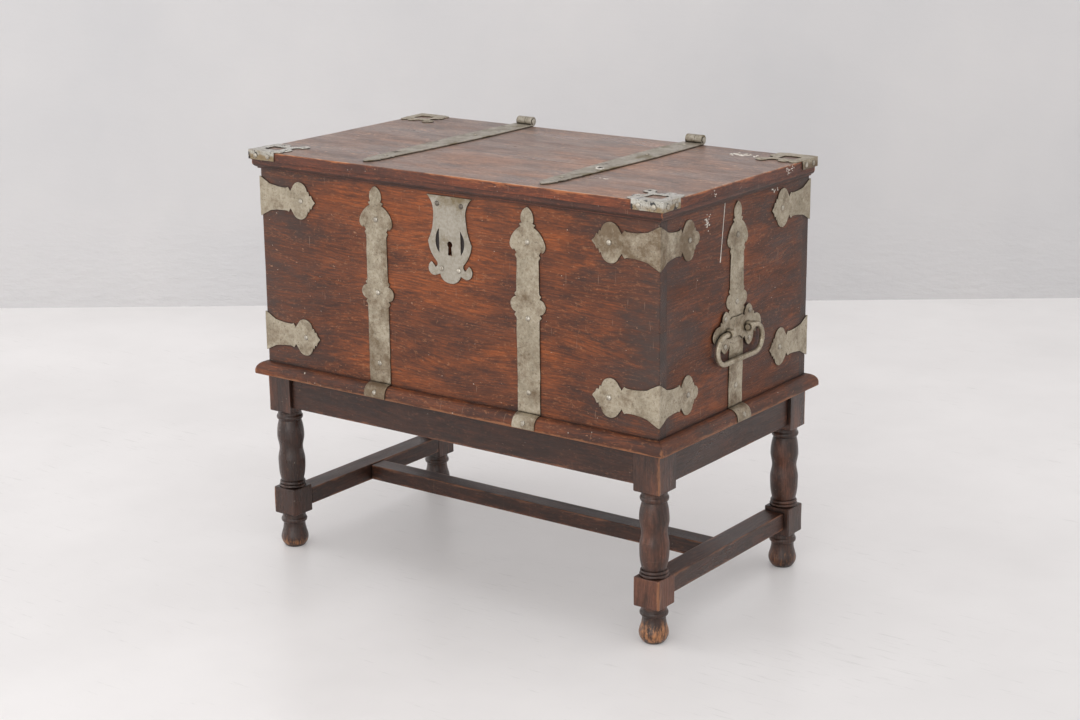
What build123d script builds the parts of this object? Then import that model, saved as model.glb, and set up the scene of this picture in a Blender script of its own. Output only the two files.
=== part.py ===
"""A boarded chest with iron mounts, standing on a low frame with turned legs.

X runs along the chest, the lock faces -Y, Z = 0 is the floor and all sizes are millimetres.
The wood is worked out from the outside of the boards, and every iron piece is laid on
the face that carries it, so a changed size moves what is nailed to it.
"""

import math
import os

from build123d import *

os.makedirs("parts", exist_ok=True)

# ------------------------------------------------------------------ stand, driving sizes
stand_length = 900.0  # over the leg blocks, along X
stand_depth = 502.0  # over the leg blocks, along Y
stand_height = 355.0  # floor to the top of legs and aprons
block_side = 53.0  # square blocks left on each turned leg
block_chamfer = 1.5
low_block_round = 3.5  # upright edges of the low blocks, worn by feet
low_block_foot = 69.0
low_block_head = 123.0
top_block_foot = 279.0

foot_flat_radius = 18.0  # what touches the floor
foot_radius = 26.4  # widest part of the ball foot
foot_widest = 16.0  # its height above the floor
ankle_radius = 21.2
ankle_height = 43.0
ring_radius = 25.4  # thin rings under the blocks
ring_height = 11.0
collar_radius = 22.8  # between a ring and its block
bead_radius = 26.2  # lower bead on the low block
small_bead_radius = 25.0
groove_radius = 23.4  # below and above the lower bead
bead_height = 6.5
neck_radius = 21.6
swell_radius = 26.4  # the two swells of the wavy turning
waist_radius = 22.9

apron_height = 65.0
apron_thickness = 22.0
apron_inset = 6.5  # set back from the blocks' outer faces
stretcher_width = 43.0
stretcher_height = 33.0
stretcher_drop = 8.0  # its top below the low blocks' heads
spine_width = 39.0  # the long stretcher between the two short ones
spine_height = 30.0
spine_drop = 2.0  # its top below the short stretchers' tops
tenon_length = 20.0
tenon_thickness = 9.0
tenon_shoulder = 8.0  # left above and below each tenon

# ------------------------------------------------------------------ chest, driving sizes
chest_length = 896.0
chest_depth = 500.0
wall_height = 417.7
board = 22.0
bottom_board = 18.0
seam_height = 210.0  # chest underside to the seam between two boards

plinth_height = 24.0
plinth_reach = 20.0  # beyond the boards
plinth_lip = 6.0  # upright part below its round
plinth_flat = 2.0  # level part above its round

lid_rest_gap = 0.3  # between the walls and the lid that rests on them
lid_board = 17.0
lid_overhang = 13.5  # at the front and both ends
lid_back_gap = 0.6  # the lid's back edge lies this much inside the back wall
lid_seam_y = -45.0
lid_bead_height = 17.0  # moulding under the lid board
lid_bead_step = 2.4  # set back from the lid board's edge
lid_bead_lip = 4.5
lid_bead_round = 7.0
lid_bead_foot = 2.5
lid_bead_clearance = 0.8  # to the walls it slides down over

# ------------------------------------------------------------------ irons, driving sizes
iron = 2.2  # thickness of the nailed mounts
iron_drop = 21.7  # walls' top down to the front and end straps' tips
iron_shift = 6.0  # the lock and front straps stand this much right of the middle
strap_spacing = 342.0  # between the two front straps
front_head_half = 38.0
front_knob_half = 38.0
front_shaft_half = 24.5
left_knob_drop = 199.0  # from a strap's tip down to the middle of its knob
right_knob_drop = 175.0
end_iron_y = -4.0  # middle of the end straps and handles
end_head_half = 33.5
end_knob_half = 34.5
end_shaft_half = 22.5
end_knob_drop = 177.0

mount_half = 38.0  # half the corner mounts' height along the chest's edge
mount_arm = 136.0  # their arms along the front and the back
mount_end_arms = {"front": 120.0, "back": 136.0}  # and along the ends
mount_places = {  # middles: above the chest's foot, and below the walls' top
    "front_left": (85.0, 69.7),
    "front_right": (83.0, 63.7),
    "back_left": (91.0, 66.7),
    "back_right": (99.0, 60.7),
}

lock_half = 51.0  # half the lock plate's width at its top
lock_height = 157.0
lock_drop = 1.0  # its top below the straps' tips
keyhole_drop = 88.0  # straps' tips down to the middle of the round
keyhole_radius = 6.0
keyhole_slot = 19.0  # from the round's centre to the slot's foot
keyhole_slot_width = 7.0
lock_case_width = 90.0
lock_case_height = 116.0
lock_case_depth = 20.0
lock_case_wall = 2.0
lock_case_drop = 25.0  # its top below the walls' top
bolt_height = 7.0
bolt_thickness = 5.0
bolt_length = 42.0
bolt_throw = 10.0
bolt_clearance = 0.3
staple_thickness = 5.0
staple_depth = 12.0
staple_length = 41.0

handle_drop = 234.0  # end straps' tips down to the middle of the handle plates
eye_lift = 3.0  # bail's axis above the plate's middle
handle_plate_half = 82.0
bail_radius = 4.8  # of its round bar
bail_reach = 10.0  # pivot axis to the wooden end
bail_width = 151.5  # between the bar's middles
bail_drop = 51.5  # pivot axis down to the grip's middle
eye_spacing = 66.0
eye_width = 12.0
eye_nose = 8.4  # radius of an eye's rounded nose
pin_clearance = 0.08

hinge_x = 199.0
hinge_strap = 3.0  # thickness of the long straps on the lid
hinge_blade_half = 23.0
hinge_blade_reach = 241.0  # their tips in front of the chest's middle
hinge_leaf_half = 23.0
knuckle_radius = 9.5
knuckle_lift = 8.0  # hinge axis above the lid's top
knuckle_back = 6.0  # hinge axis behind the lid's back edge
strap_knuckle = 20.0  # lengths of the two knuckles
leaf_knuckle = 15.0
knuckle_gap = 0.4
hinge_pin_radius = 4.0
pin_head_radius = 5.6
pin_head = 2.0

corner_iron = 2.0  # thickness of the lid's corner plates
corner_reach = 80.0
corner_flange_front = 62.0
corner_flange_side = 52.0
corner_flange_height = 16.0

nail_radius = 5.0
nail_rise = 2.4
front_nail_drops = (62.0, 198.0)  # all three from the straps' tips down
end_nail_drops = (60.0, 180.0)
leaf_nail_drops = (21.0, 151.0)
low_nail_rises = {"front": 64.0, "end": 63.0, "leaf": 105.0}  # the lowest, above the chest's foot
strap_nail_places = (215.0, 90.0, -178.0)  # along Y on the lid's long straps
fold_nail_tilt = 18.0  # degrees that a nail on a folded foot looks up

# ------------------------------------------------------------------ sizes that follow
stand_x, stand_y = stand_length / 2, stand_depth / 2
half_x, half_y = chest_length / 2, chest_depth / 2
chest_foot = stand_height
wall_top = chest_foot + wall_height
seam_z = chest_foot + seam_height
lid_underside = wall_top + lid_rest_gap
lid_top = lid_underside + lid_board
lid_x = half_x + lid_overhang
lid_front = -half_y - lid_overhang
lid_back = half_y - lid_back_gap
plinth_top = chest_foot + plinth_height
iron_top = wall_top - iron_drop
lock_top = iron_top - lock_drop
keyhole_height = iron_top - keyhole_drop
handle_height = iron_top - handle_drop
mount_heights = {
    corner: (chest_foot + rise, wall_top - drop) for corner, (rise, drop) in mount_places.items()
}
hinge_y = lid_back + knuckle_back
hinge_z = lid_top + knuckle_lift
up = Vector(0, 0, 1)

FACES = {
    "front": Plane((0, -half_y, 0), x_dir=(1, 0, 0), z_dir=(0, -1, 0)),
    "right": Plane((half_x, 0, 0), x_dir=(0, 1, 0), z_dir=(1, 0, 0)),
    "back": Plane((0, half_y, 0), x_dir=(-1, 0, 0), z_dir=(0, 1, 0)),
    "left": Plane((-half_x, 0, 0), x_dir=(0, -1, 0), z_dir=(-1, 0, 0)),
}


def trace(path):
    """Draws a path: a pair is the next corner, two pairs are an arc's middle and its end."""
    here = path[0]
    for step in path[1:]:
        if isinstance(step[0], tuple):
            ThreePointArc(here, step[0], step[1])
            here = step[1]
        else:
            Line(here, step)
            here = step


def plate(path, mirrored=True):
    """A flat face inside a path, which starts and ends on the local Y axis if it is mirrored."""
    with BuildSketch() as face:
        with BuildLine():
            trace(path)
            if mirrored:
                mirror(about=Plane.YZ)
        make_face()
    return face.sketch


def upright_section(face, across):
    """A plane square to a wall at a place across it: its X points out of the wall, its Y up."""
    place = face.origin + face.x_dir * across
    return Plane(place, x_dir=face.z_dir, z_dir=face.z_dir.cross(up))


# ------------------------------------------------------------------ stand
apron_z = stand_height - apron_height / 2
stretcher_top = low_block_head - stretcher_drop
stretcher_z = stretcher_top - stretcher_height / 2
stretcher_x = stand_x - block_side + stretcher_width / 2
spine_z = stretcher_top - spine_drop - spine_height / 2
apron_x = stand_x - apron_inset - apron_thickness / 2
apron_y = stand_y - apron_inset - apron_thickness / 2
clear_x = stand_length - 2 * block_side
clear_y = stand_depth - 2 * block_side

# name: middle, body size, tenon size
long_tenon = clear_x + 2 * tenon_length
short_tenon = clear_y + 2 * tenon_length
apron_tenon = apron_height - 2 * tenon_shoulder
stretcher_tenon = stretcher_height - 2 * tenon_shoulder
spine_tenon = spine_height - 2 * tenon_shoulder
RAILS = {
    "apron_front": ((0, -apron_y, apron_z), (clear_x, apron_thickness, apron_height),
                    (long_tenon, tenon_thickness, apron_tenon)),
    "apron_back": ((0, apron_y, apron_z), (clear_x, apron_thickness, apron_height),
                   (long_tenon, tenon_thickness, apron_tenon)),
    "apron_left": ((-apron_x, 0, apron_z), (apron_thickness, clear_y, apron_height),
                   (tenon_thickness, short_tenon, apron_tenon)),
    "apron_right": ((apron_x, 0, apron_z), (apron_thickness, clear_y, apron_height),
                    (tenon_thickness, short_tenon, apron_tenon)),
    "stretcher_left": ((-stretcher_x, 0, stretcher_z), (stretcher_width, clear_y, stretcher_height),
                       (tenon_thickness, short_tenon, stretcher_tenon)),
    "stretcher_right": ((stretcher_x, 0, stretcher_z), (stretcher_width, clear_y, stretcher_height),
                        (tenon_thickness, short_tenon, stretcher_tenon)),
    "stretcher_middle": ((0, 0, spine_z), (clear_x, spine_width, spine_height),
                         (long_tenon, tenon_thickness, spine_tenon)),
}

for name, (middle, body, tenon) in RAILS.items():
    with BuildPart() as rail:
        with Locations(middle):
            Box(*body)
            Box(*tenon)
        if name in ("stretcher_left", "stretcher_right"):
            spine_middle, _, spine_bar = RAILS["stretcher_middle"]
            with Locations(spine_middle):
                Box(*spine_bar, mode=Mode.SUBTRACT)
    rail.part.label = name
    export_step(rail.part, f"parts/{name}.step")

leg_places = {
    "front_left": (-1, -1),
    "front_right": (1, -1),
    "back_left": (-1, 1),
    "back_right": (1, 1),
}
turning_foot = low_block_head + 2 * bead_height
turning_head = top_block_foot - ring_height - 8.0
turning = turning_head - turning_foot

with BuildPart() as blocks:
    for foot, head in ((low_block_foot, low_block_head), (top_block_foot, stand_height)):
        with Locations((0, 0, (foot + head) / 2)):
            Box(block_side, block_side, head - foot)
    upright_edges = blocks.edges().filter_by(Axis.Z)
    fillet(upright_edges.filter_by_position(Axis.Z, 0, low_block_head), low_block_round)
    level_edges = blocks.edges().filter_by(Axis.Z, reverse=True)
    chamfer(level_edges.filter_by_position(Axis.Z, 0, stand_height - block_side), block_chamfer)

for place, (sx, sy) in leg_places.items():
    leg_x = sx * (stand_x - block_side / 2)
    leg_y = sy * (stand_y - block_side / 2)
    section = Plane((leg_x, leg_y, 0), x_dir=(1, 0, 0), z_dir=(0, -1, 0))
    with BuildPart() as leg:
        with BuildSketch(section):
            with BuildLine():
                ankle_top = low_block_foot - 9.0 - ring_height
                Line((0, 0), (foot_flat_radius, 0))
                Spline(
                    (foot_flat_radius, 0),
                    (foot_radius, foot_widest),
                    (ankle_radius, ankle_height),
                    tangents=((1, 0.9), (-0.1, 1)),
                )
                Line((ankle_radius, ankle_height), (ankle_radius, ankle_top))
                ring_side = ankle_top + ring_height
                ThreePointArc(
                    (ankle_radius, ankle_top),
                    (ring_radius, ankle_top + ring_height / 2),
                    (collar_radius, ring_side),
                )
                Line((collar_radius, ring_side), (collar_radius, low_block_foot))
                Line((collar_radius, low_block_foot), (0, low_block_foot))
                Line((0, low_block_foot), (0, 0))
            make_face()
            with BuildLine():
                bead_top = low_block_head + bead_height
                Line((0, low_block_head), (groove_radius, low_block_head))
                ThreePointArc(
                    (groove_radius, low_block_head),
                    (bead_radius, low_block_head + bead_height / 2),
                    (groove_radius, bead_top),
                )
                ThreePointArc(
                    (groove_radius, bead_top),
                    (small_bead_radius, bead_top + bead_height / 2),
                    (neck_radius, turning_foot),
                )
                Spline(
                    (neck_radius, turning_foot),
                    (swell_radius, turning_foot + 0.345 * turning),
                    (waist_radius, turning_foot + 0.545 * turning),
                    (swell_radius, turning_foot + 0.735 * turning),
                    (neck_radius, turning_head),
                    tangents=((0.3, 1), (0, 1), (0, 1), (0, 1), (-0.3, 1)),
                )
                ring_head = turning_head + ring_height
                ThreePointArc(
                    (neck_radius, turning_head),
                    (ring_radius, turning_head + ring_height / 2),
                    (collar_radius, ring_head),
                )
                Line((collar_radius, ring_head), (collar_radius, top_block_foot))
                Line((collar_radius, top_block_foot), (0, top_block_foot))
                Line((0, top_block_foot), (0, low_block_head))
            make_face()
        revolve(axis=Axis((leg_x, leg_y, 0), (0, 0, 1)))
        with Locations((leg_x, leg_y, 0)):
            add(blocks.part)
        for middle, _, tenon in RAILS.values():
            with Locations(middle):
                Box(*tenon, mode=Mode.SUBTRACT)
    leg.part.label = f"leg_{place}"
    export_step(leg.part, f"parts/leg_{place}.step")


# ------------------------------------------------------------------ chest, woodwork
inner_x = half_x - board
inner_y = half_y - board


def wood_box(low, high):
    """A plain board between two corners."""
    low, high = Vector(low), Vector(high)
    size = high - low
    with Locations((low + high) / 2):
        Box(size.X, size.Y, size.Z)


BOARDS = {
    "front_board_lower": ((-half_x, -half_y, chest_foot), (half_x, -inner_y, seam_z)),
    "front_board_upper": ((-half_x, -half_y, seam_z), (half_x, -inner_y, wall_top)),
    "back_board_lower": ((-half_x, inner_y, chest_foot), (half_x, half_y, seam_z)),
    "back_board_upper": ((-half_x, inner_y, seam_z), (half_x, half_y, wall_top)),
    "end_board_left": ((-half_x, -inner_y, chest_foot), (-inner_x, inner_y, wall_top)),
    "end_board_right": ((inner_x, -inner_y, chest_foot), (half_x, inner_y, wall_top)),
    "bottom_board": ((-inner_x, -inner_y, chest_foot), (inner_x, inner_y, chest_foot + bottom_board)),
    "lid_board_front": ((-lid_x, lid_front, lid_underside), (lid_x, lid_seam_y, lid_top)),
    "lid_board_back": ((-lid_x, lid_seam_y, lid_underside), (lid_x, lid_back, lid_top)),
}


def keyhole(radius, width, foot):
    """The round and flared slot of a keyhole, drawn about the round's centre."""
    with BuildSketch() as hole:
        Circle(radius)
        with BuildLine():
            Polyline(
                (-width / 2, 0), (width / 2, 0), (width * 0.65, -foot), (-width * 0.65, -foot), close=True
            )
        make_face()
    return hole.sketch


lock_face = FACES["front"]
lock_centre = (iron_shift, keyhole_height)
for name, (low, high) in BOARDS.items():
    with BuildPart() as plank:
        wood_box(low, high)
        if name == "front_board_upper":
            with BuildSketch(lock_face):
                with Locations(lock_centre):
                    add(keyhole(keyhole_radius + 1.5, keyhole_slot_width + 2.0, keyhole_slot))
            extrude(amount=-board, mode=Mode.SUBTRACT)
    plank.part.label = name
    export_step(plank.part, f"parts/{name}.step")

# The mouldings: a profile run along each side and cut to mitres by a wedge from the middle.
plinth_round = plinth_reach - plinth_flat
round_drop = plinth_height - plinth_lip
bow = 0.7071
plinth_profile = [
    (0, 0),
    (plinth_reach - 1.5, 0),
    ((plinth_reach - 0.4, 0.6), (plinth_reach, plinth_lip / 3)),
    (plinth_reach, plinth_lip),
    (
        (plinth_flat + plinth_round * bow, plinth_lip + round_drop * bow),
        (plinth_flat, plinth_height),
    ),
    (0, plinth_height),
    (0, 0),
]
lid_bead_out = lid_overhang - lid_bead_step
lid_bead_in = lid_bead_out - lid_bead_round
lid_round_foot = -lid_bead_height + lid_bead_foot
lid_round_drop = -lid_bead_lip - lid_round_foot
lid_bead_profile = [
    (lid_bead_clearance, 0),
    (lid_bead_out, 0),
    (lid_bead_out, -lid_bead_lip),
    (
        (lid_bead_in + lid_bead_round * bow, lid_round_foot + lid_round_drop * (1 - bow)),
        (lid_bead_in, lid_round_foot),
    ),
    (lid_bead_in, -lid_bead_height),
    (lid_bead_clearance, -lid_bead_height),
    (lid_bead_clearance, 0),
]


def moulding_strip(face, half_run, profile, height, reach, square_ends=()):
    """Runs a profile along one wall, half_run each way, and mitres the ends not named square."""
    with BuildSketch(upright_section(face, 0)) as section:
        with Locations((0, height)):
            add(plate(profile, mirrored=False))
    extrude(section.sketch, amount=half_run + reach, both=True)
    outer = {sign: half_run if sign in square_ends else half_run + reach for sign in (-1, 1)}
    inner = {sign: half_run if sign in square_ends else half_run - board for sign in (-1, 1)}
    with BuildSketch(Plane(face.origin, x_dir=face.x_dir, z_dir=up)) as mitres:
        with BuildLine():
            Polyline(
                (-outer[-1], -reach), (outer[1], -reach), (inner[1], board), (-inner[-1], board),
                close=True,
            )
        make_face()
    extrude(mitres.sketch, amount=lid_top, both=True, mode=Mode.INTERSECT)


for side, face in FACES.items():
    run = half_x if side in ("front", "back") else half_y
    with BuildPart() as strip:
        moulding_strip(face, run, plinth_profile, chest_foot, plinth_reach)
    strip.part.label = f"plinth_moulding_{side}"
    export_step(strip.part, f"parts/plinth_moulding_{side}.step")

with BuildPart() as front_bead:
    moulding_strip(FACES["front"], half_x, lid_bead_profile, lid_underside, lid_overhang)
front_bead.part.label = "lid_moulding_front"
export_step(front_bead.part, "parts/lid_moulding_front.step")

for side, back_end in (("left", -1), ("right", 1)):
    with BuildPart() as end_bead:
        moulding_strip(
            FACES[side], half_y, lid_bead_profile, lid_underside, lid_overhang, square_ends=(back_end,)
        )
        with Locations((0, lid_back + board, lid_underside)):
            Box(2 * stand_length, 2 * board, 2 * board, mode=Mode.SUBTRACT)
    end_bead.part.label = f"lid_moulding_{side}"
    export_step(end_bead.part, f"parts/lid_moulding_{side}.step")


# ------------------------------------------------------------------ straps over the plinth
strap_foot = plinth_top + iron  # where a strap leaves the wall
fold_profile = [
    (0, strap_foot + iron),
    (0, plinth_top),
    (plinth_flat, plinth_top),
    (
        (plinth_flat + plinth_round * bow, chest_foot + plinth_lip + round_drop * bow),
        (plinth_reach, chest_foot + plinth_lip),
    ),
    (plinth_reach, chest_foot + plinth_lip / 3),
    (plinth_reach + iron, chest_foot + plinth_lip / 3),
    (plinth_reach + iron, chest_foot + plinth_lip),
    (
        (
            plinth_flat + (plinth_round + iron) * bow,
            chest_foot + plinth_lip + (round_drop + iron) * bow,
        ),
        (plinth_flat, plinth_top + iron),
    ),
    (iron, strap_foot + iron),
    (0, strap_foot + iron),
]


def strap_path(head, knob, shaft, knob_drop):
    """Half a strap's outline: a leaf tip, barbs, a heart-shaped head, and a knob on the shaft."""
    tip = iron_top
    knob_height = tip - knob_drop
    return [
        (0, tip),
        ((shaft * 0.4, tip - 8), (shaft * 0.55, tip - 20)),
        ((shaft * 0.54, tip - 25), (shaft * 0.46, tip - 29)),
        (shaft * 0.72, tip - 31),
        (shaft * 0.56, tip - 36),
        ((head * 0.78, tip - 48), (head, tip - 64)),
        ((head * 0.98, tip - 73), (head * 0.8, tip - 79)),
        (head * 0.76, tip - 76),
        (shaft * 0.98, tip - 83),
        (shaft * 1.12, tip - 87),
        (shaft * 0.96, tip - 93),
        (shaft, knob_height + 23),
        (shaft * 1.18, knob_height + 19),
        (shaft * 1.03, knob_height + 14),
        ((knob, knob_height), (shaft * 1.05, knob_height - 14)),
        (shaft * 1.2, knob_height - 19),
        (shaft, knob_height - 24),
        (shaft, strap_foot),
        (0, strap_foot),
    ]


def folded_strap(face, across, path, half_width):
    """A nailed strap lying on a wall, with its foot folded down over the plinth moulding."""
    with BuildSketch(face) as flat:
        with Locations((across, 0)):
            add(plate(path))
    extrude(flat.sketch, amount=iron)
    with BuildSketch(upright_section(face, across)) as fold:
        add(plate(fold_profile, mirrored=False))
    extrude(fold.sketch, amount=half_width, both=True)


left_strap_x = iron_shift - strap_spacing / 2
right_strap_x = iron_shift + strap_spacing / 2
STRAPS = {
    "front_strap_left": ("front", left_strap_x, front_head_half, front_knob_half,
                         front_shaft_half, left_knob_drop),
    "front_strap_right": ("front", right_strap_x, front_head_half, front_knob_half,
                          front_shaft_half, right_knob_drop),
    "end_strap_right": ("right", end_iron_y, end_head_half, end_knob_half,
                        end_shaft_half, end_knob_drop),
    "end_strap_left": ("left", -end_iron_y, end_head_half, end_knob_half,
                       end_shaft_half, end_knob_drop),
}
folded_parts = []
for name, (side, across, head, knob, shaft, knob_drop) in STRAPS.items():
    with BuildPart() as strap:
        folded_strap(FACES[side], across, strap_path(head, knob, shaft, knob_drop), shaft)
    folded_parts.append(strap.part)
    strap.part.label = name
    export_step(strap.part, f"parts/{name}.step")

# ------------------------------------------------------------------ corner mounts
def mount_path(arm, half, blunt):
    """Half the outline of one arm: it grows from the chest's edge along local Y to its tip."""
    neck = [
        (0, 0),
        (half, 0),
        (half * 0.68, arm * 0.17),
        ((half * 0.6, arm * 0.3), (half * 0.58, arm * 0.48)),
        (half * 0.63, arm * 0.51),
        (half * 0.44, arm * 0.55),
        (half * 0.68, arm * 0.6),
    ]
    leaf = [
        ((half * 0.93, arm * 0.72), (half * 0.48, arm * 0.86)),
        (half * 0.52, arm * 0.885),
        (half * 0.32, arm * 0.9),
    ]
    if blunt:
        tip = [((half * 0.23, arm * 0.97), (0, arm))]
    else:
        tip = [(half * 0.35, arm * 0.93), (half * 0.18, arm * 0.95), (0, arm)]
    return neck + leaf + tip


for corner, heights in mount_heights.items():
    sx, sy = leg_places[corner]
    end_arm = mount_end_arms[corner.split("_")[0]]
    arms = [
        (Vector(-sx, 0, 0), Vector(0, sy, 0), mount_arm, False),
        (Vector(0, -sy, 0), Vector(sx, 0, 0), end_arm, sy < 0),
    ]
    for level, height in zip(("lower", "upper"), heights):
        edge = (sx * half_x, sy * half_y, height)
        with BuildPart() as mount:
            for inward, outward, arm, blunt in arms:
                with BuildSketch(Plane(edge, x_dir=inward.cross(outward), z_dir=outward)):
                    add(plate(mount_path(arm, mount_half, blunt)))
                extrude(amount=iron)
            with Locations((sx * (half_x + iron / 2), sy * (half_y + iron / 2), height)):
                Box(iron, iron, 2 * mount_half)
        mount.part.label = f"corner_mount_{corner}_{level}"
        export_step(mount.part, f"parts/corner_mount_{corner}_{level}.step")

# ------------------------------------------------------------------ lock
def lock_point(across, down):
    """A point of the lock plate, in shares of its half width and of its height."""
    return (across * lock_half, lock_top - down * lock_height)


lock_path = [
    lock_point(0, 0),
    lock_point(1, 0),
    (lock_point(0.78, 0.09), lock_point(0.71, 0.23)),
    (lock_point(0.78, 0.38), lock_point(0.96, 0.535)),
    (lock_point(0.84, 0.66), lock_point(0.61, 0.76)),
    (lock_point(0.57, 0.8), lock_point(0.66, 0.835)),
    lock_point(0.83, 0.775),
    (lock_point(0.95, 0.88), lock_point(0.68, 0.93)),
    lock_point(0.46, 0.905),
    (lock_point(0.31, 0.97), lock_point(0, 1)),
]
crescent = [
    lock_point(0.47, 0.38),
    (lock_point(0.64, 0.52), lock_point(0.47, 0.66)),
    lock_point(0.47, 0.38),
]
slot = plate(crescent, mirrored=False)
with BuildPart() as lock_plate:
    with BuildSketch(lock_face):
        with Locations((iron_shift, 0)):
            add(plate(lock_path))
            add([slot, slot.mirror(Plane.YZ)], mode=Mode.SUBTRACT)
        with Locations(lock_centre):
            add(keyhole(keyhole_radius, keyhole_slot_width, keyhole_slot), mode=Mode.SUBTRACT)
    extrude(amount=iron)
lock_plate.part.label = "lock_plate"
export_step(lock_plate.part, "parts/lock_plate.step")

case_top = wall_top - lock_case_drop
case_z = case_top - lock_case_height / 2
case_y = -inner_y + lock_case_depth / 2
hollow_depth = lock_case_depth - lock_case_wall
staple_x = iron_shift + 12.0
staple_y = -inner_y + hollow_depth / 2 + 2.0
staple_foot = lid_underside - staple_length
bolt_z = staple_foot + staple_depth * 0.75
bolt_rest_tip = staple_x - staple_thickness / 2 - 3.0
bolt_x = bolt_rest_tip - bolt_length / 2
guide_thickness = 4.0
guide_height = bolt_height + 6.0
with BuildPart() as lock_case:
    with Locations((iron_shift, case_y, case_z)):
        Box(lock_case_width, lock_case_depth, lock_case_height)
    with Locations((iron_shift, -inner_y + hollow_depth / 2, case_z)):
        Box(
            lock_case_width - 2 * lock_case_wall,
            hollow_depth,
            lock_case_height - 2 * lock_case_wall,
            mode=Mode.SUBTRACT,
        )
    with Locations((staple_x, staple_y - 1.5, case_top)):
        Box(staple_thickness + 4.0, staple_depth + 5.0, 3 * lock_case_wall, mode=Mode.SUBTRACT)
    guides = [(bolt_rest_tip - guide_thickness, staple_y, bolt_z),
              (bolt_rest_tip - bolt_length + 2 * guide_thickness, staple_y, bolt_z)]
    with Locations(*[(x, -inner_y + hollow_depth / 2, z) for x, _, z in guides]):
        Box(guide_thickness, hollow_depth, guide_height)
    with Locations(*guides):
        Box(
            2 * guide_thickness,
            bolt_thickness + 2 * bolt_clearance,
            bolt_height + 2 * bolt_clearance,
            mode=Mode.SUBTRACT,
        )
lock_case.part.label = "lock_case"
export_step(lock_case.part, "parts/lock_case.step")

with BuildPart() as lock_bolt:
    with Locations((bolt_x, staple_y, bolt_z)):
        Box(bolt_length, bolt_thickness, bolt_height)
    chamfer(lock_bolt.faces().sort_by(Axis.X)[-1].edges(), 0.8)
    with Locations((bolt_x, staple_y, bolt_z - bolt_height / 2)):
        Box(bolt_throw, 2 * bolt_thickness, bolt_height / 2, mode=Mode.SUBTRACT)
lock_bolt.part.label = "lock_bolt"
export_step(lock_bolt.part, "parts/lock_bolt.step")

with BuildPart() as staple:
    staple_plane = Plane((staple_x, staple_y, 0), x_dir=(0, 1, 0), z_dir=(1, 0, 0))
    staple_round = staple_depth / 2
    with BuildSketch(staple_plane):
        with BuildLine():
            trace([
                (-staple_round, lid_underside),
                (-staple_round, staple_foot + staple_round),
                ((0, staple_foot), (staple_round, staple_foot + staple_round)),
                (staple_round, lid_underside),
                (-staple_round, lid_underside),
            ])
        make_face()
        with Locations((0, bolt_z)):
            Rectangle(bolt_thickness + 1.4, bolt_height + 1.4, mode=Mode.SUBTRACT)
    extrude(amount=staple_thickness / 2, both=True)
    with Locations((staple_x, staple_y + 6.0, lid_underside - iron / 2)):
        Box(3 * staple_depth, 2 * staple_depth, iron)
staple.part.label = "lock_staple"
export_step(staple.part, "parts/lock_staple.step")

# ------------------------------------------------------------------ end handles
wing = handle_plate_half
wing_path = [
    (0, 27),
    (wing * 0.2, 28),
    (wing * 0.29, 24),
    ((wing * 0.34, 36), (wing * 0.47, 43)),
    ((wing * 0.59, 35), (wing * 0.62, 24)),
    (wing * 0.68, 27),
    (wing * 0.69, 20),
    ((wing * 0.88, 18), (wing, 4)),
    ((wing * 0.93, -6), (wing * 0.8, -8)),
    (wing * 0.76, -14),
    (wing * 0.68, -10),
    ((wing * 0.64, -24), (wing * 0.5, -33)),
    ((wing * 0.37, -26), (wing * 0.31, -14)),
    (wing * 0.22, -17),
    ((wing * 0.1, -9), (0, -8)),
]
plate_front = 2 * iron  # the handle plate lies over the strap
turn = bail_drop / 2
straight = bail_width / 2 - turn
eye_half = eye_spacing / 2
wing_nail_heights = (30.0, -20.0)  # from the middle of the handle plate
pin_end = eye_half - eye_width / 2 - 3.0
bail_height = handle_height + eye_lift
HANDLES = {"right": end_iron_y, "left": -end_iron_y}
for side, across in HANDLES.items():
    face = FACES[side]
    with BuildPart() as handle_plate:
        with BuildSketch(face.offset(iron)):
            with Locations((across, handle_height)):
                add(plate(wing_path))
        extrude(amount=iron)
    handle_plate.part.label = f"handle_plate_{side}"
    export_step(handle_plate.part, f"parts/handle_plate_{side}.step")

    with BuildPart() as eyes:
        for sign in (-1, 1):
            with BuildSketch(upright_section(face, across + sign * eye_half)):
                with Locations((bail_reach, bail_height)):
                    Circle(eye_nose)
                with Locations(((plate_front + bail_reach) / 2, bail_height)):
                    Rectangle(bail_reach - plate_front, 2 * eye_nose)
                with Locations((bail_reach, bail_height)):
                    Circle(bail_radius + pin_clearance, mode=Mode.SUBTRACT)
                with Locations((plate_front / 2, bail_height)):
                    Rectangle(plate_front, 3 * eye_nose, mode=Mode.SUBTRACT)
            extrude(amount=eye_width / 2, both=True)
    eyes.part.label = f"handle_eyes_{side}"
    export_step(eyes.part, f"parts/handle_eyes_{side}.step")

    pivot = face.origin + face.z_dir * bail_reach + face.x_dir * across + up * bail_height
    with BuildPart() as bail:
        with BuildLine(Plane(pivot, x_dir=face.x_dir, z_dir=face.z_dir)) as bar:
            trace([
                (pin_end, 0),
                (straight, 0),
                ((straight + turn, -turn), (straight, -2 * turn)),
                (-straight, -2 * turn),
                ((-straight - turn, -turn), (-straight, 0)),
                (-pin_end, 0),
            ])
        with BuildSketch(Plane(bar.line @ 0, x_dir=face.z_dir, z_dir=bar.line % 0)):
            Circle(bail_radius)
        sweep()
    bail.part.label = f"bail_{side}"
    export_step(bail.part, f"parts/bail_{side}.step")

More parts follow.
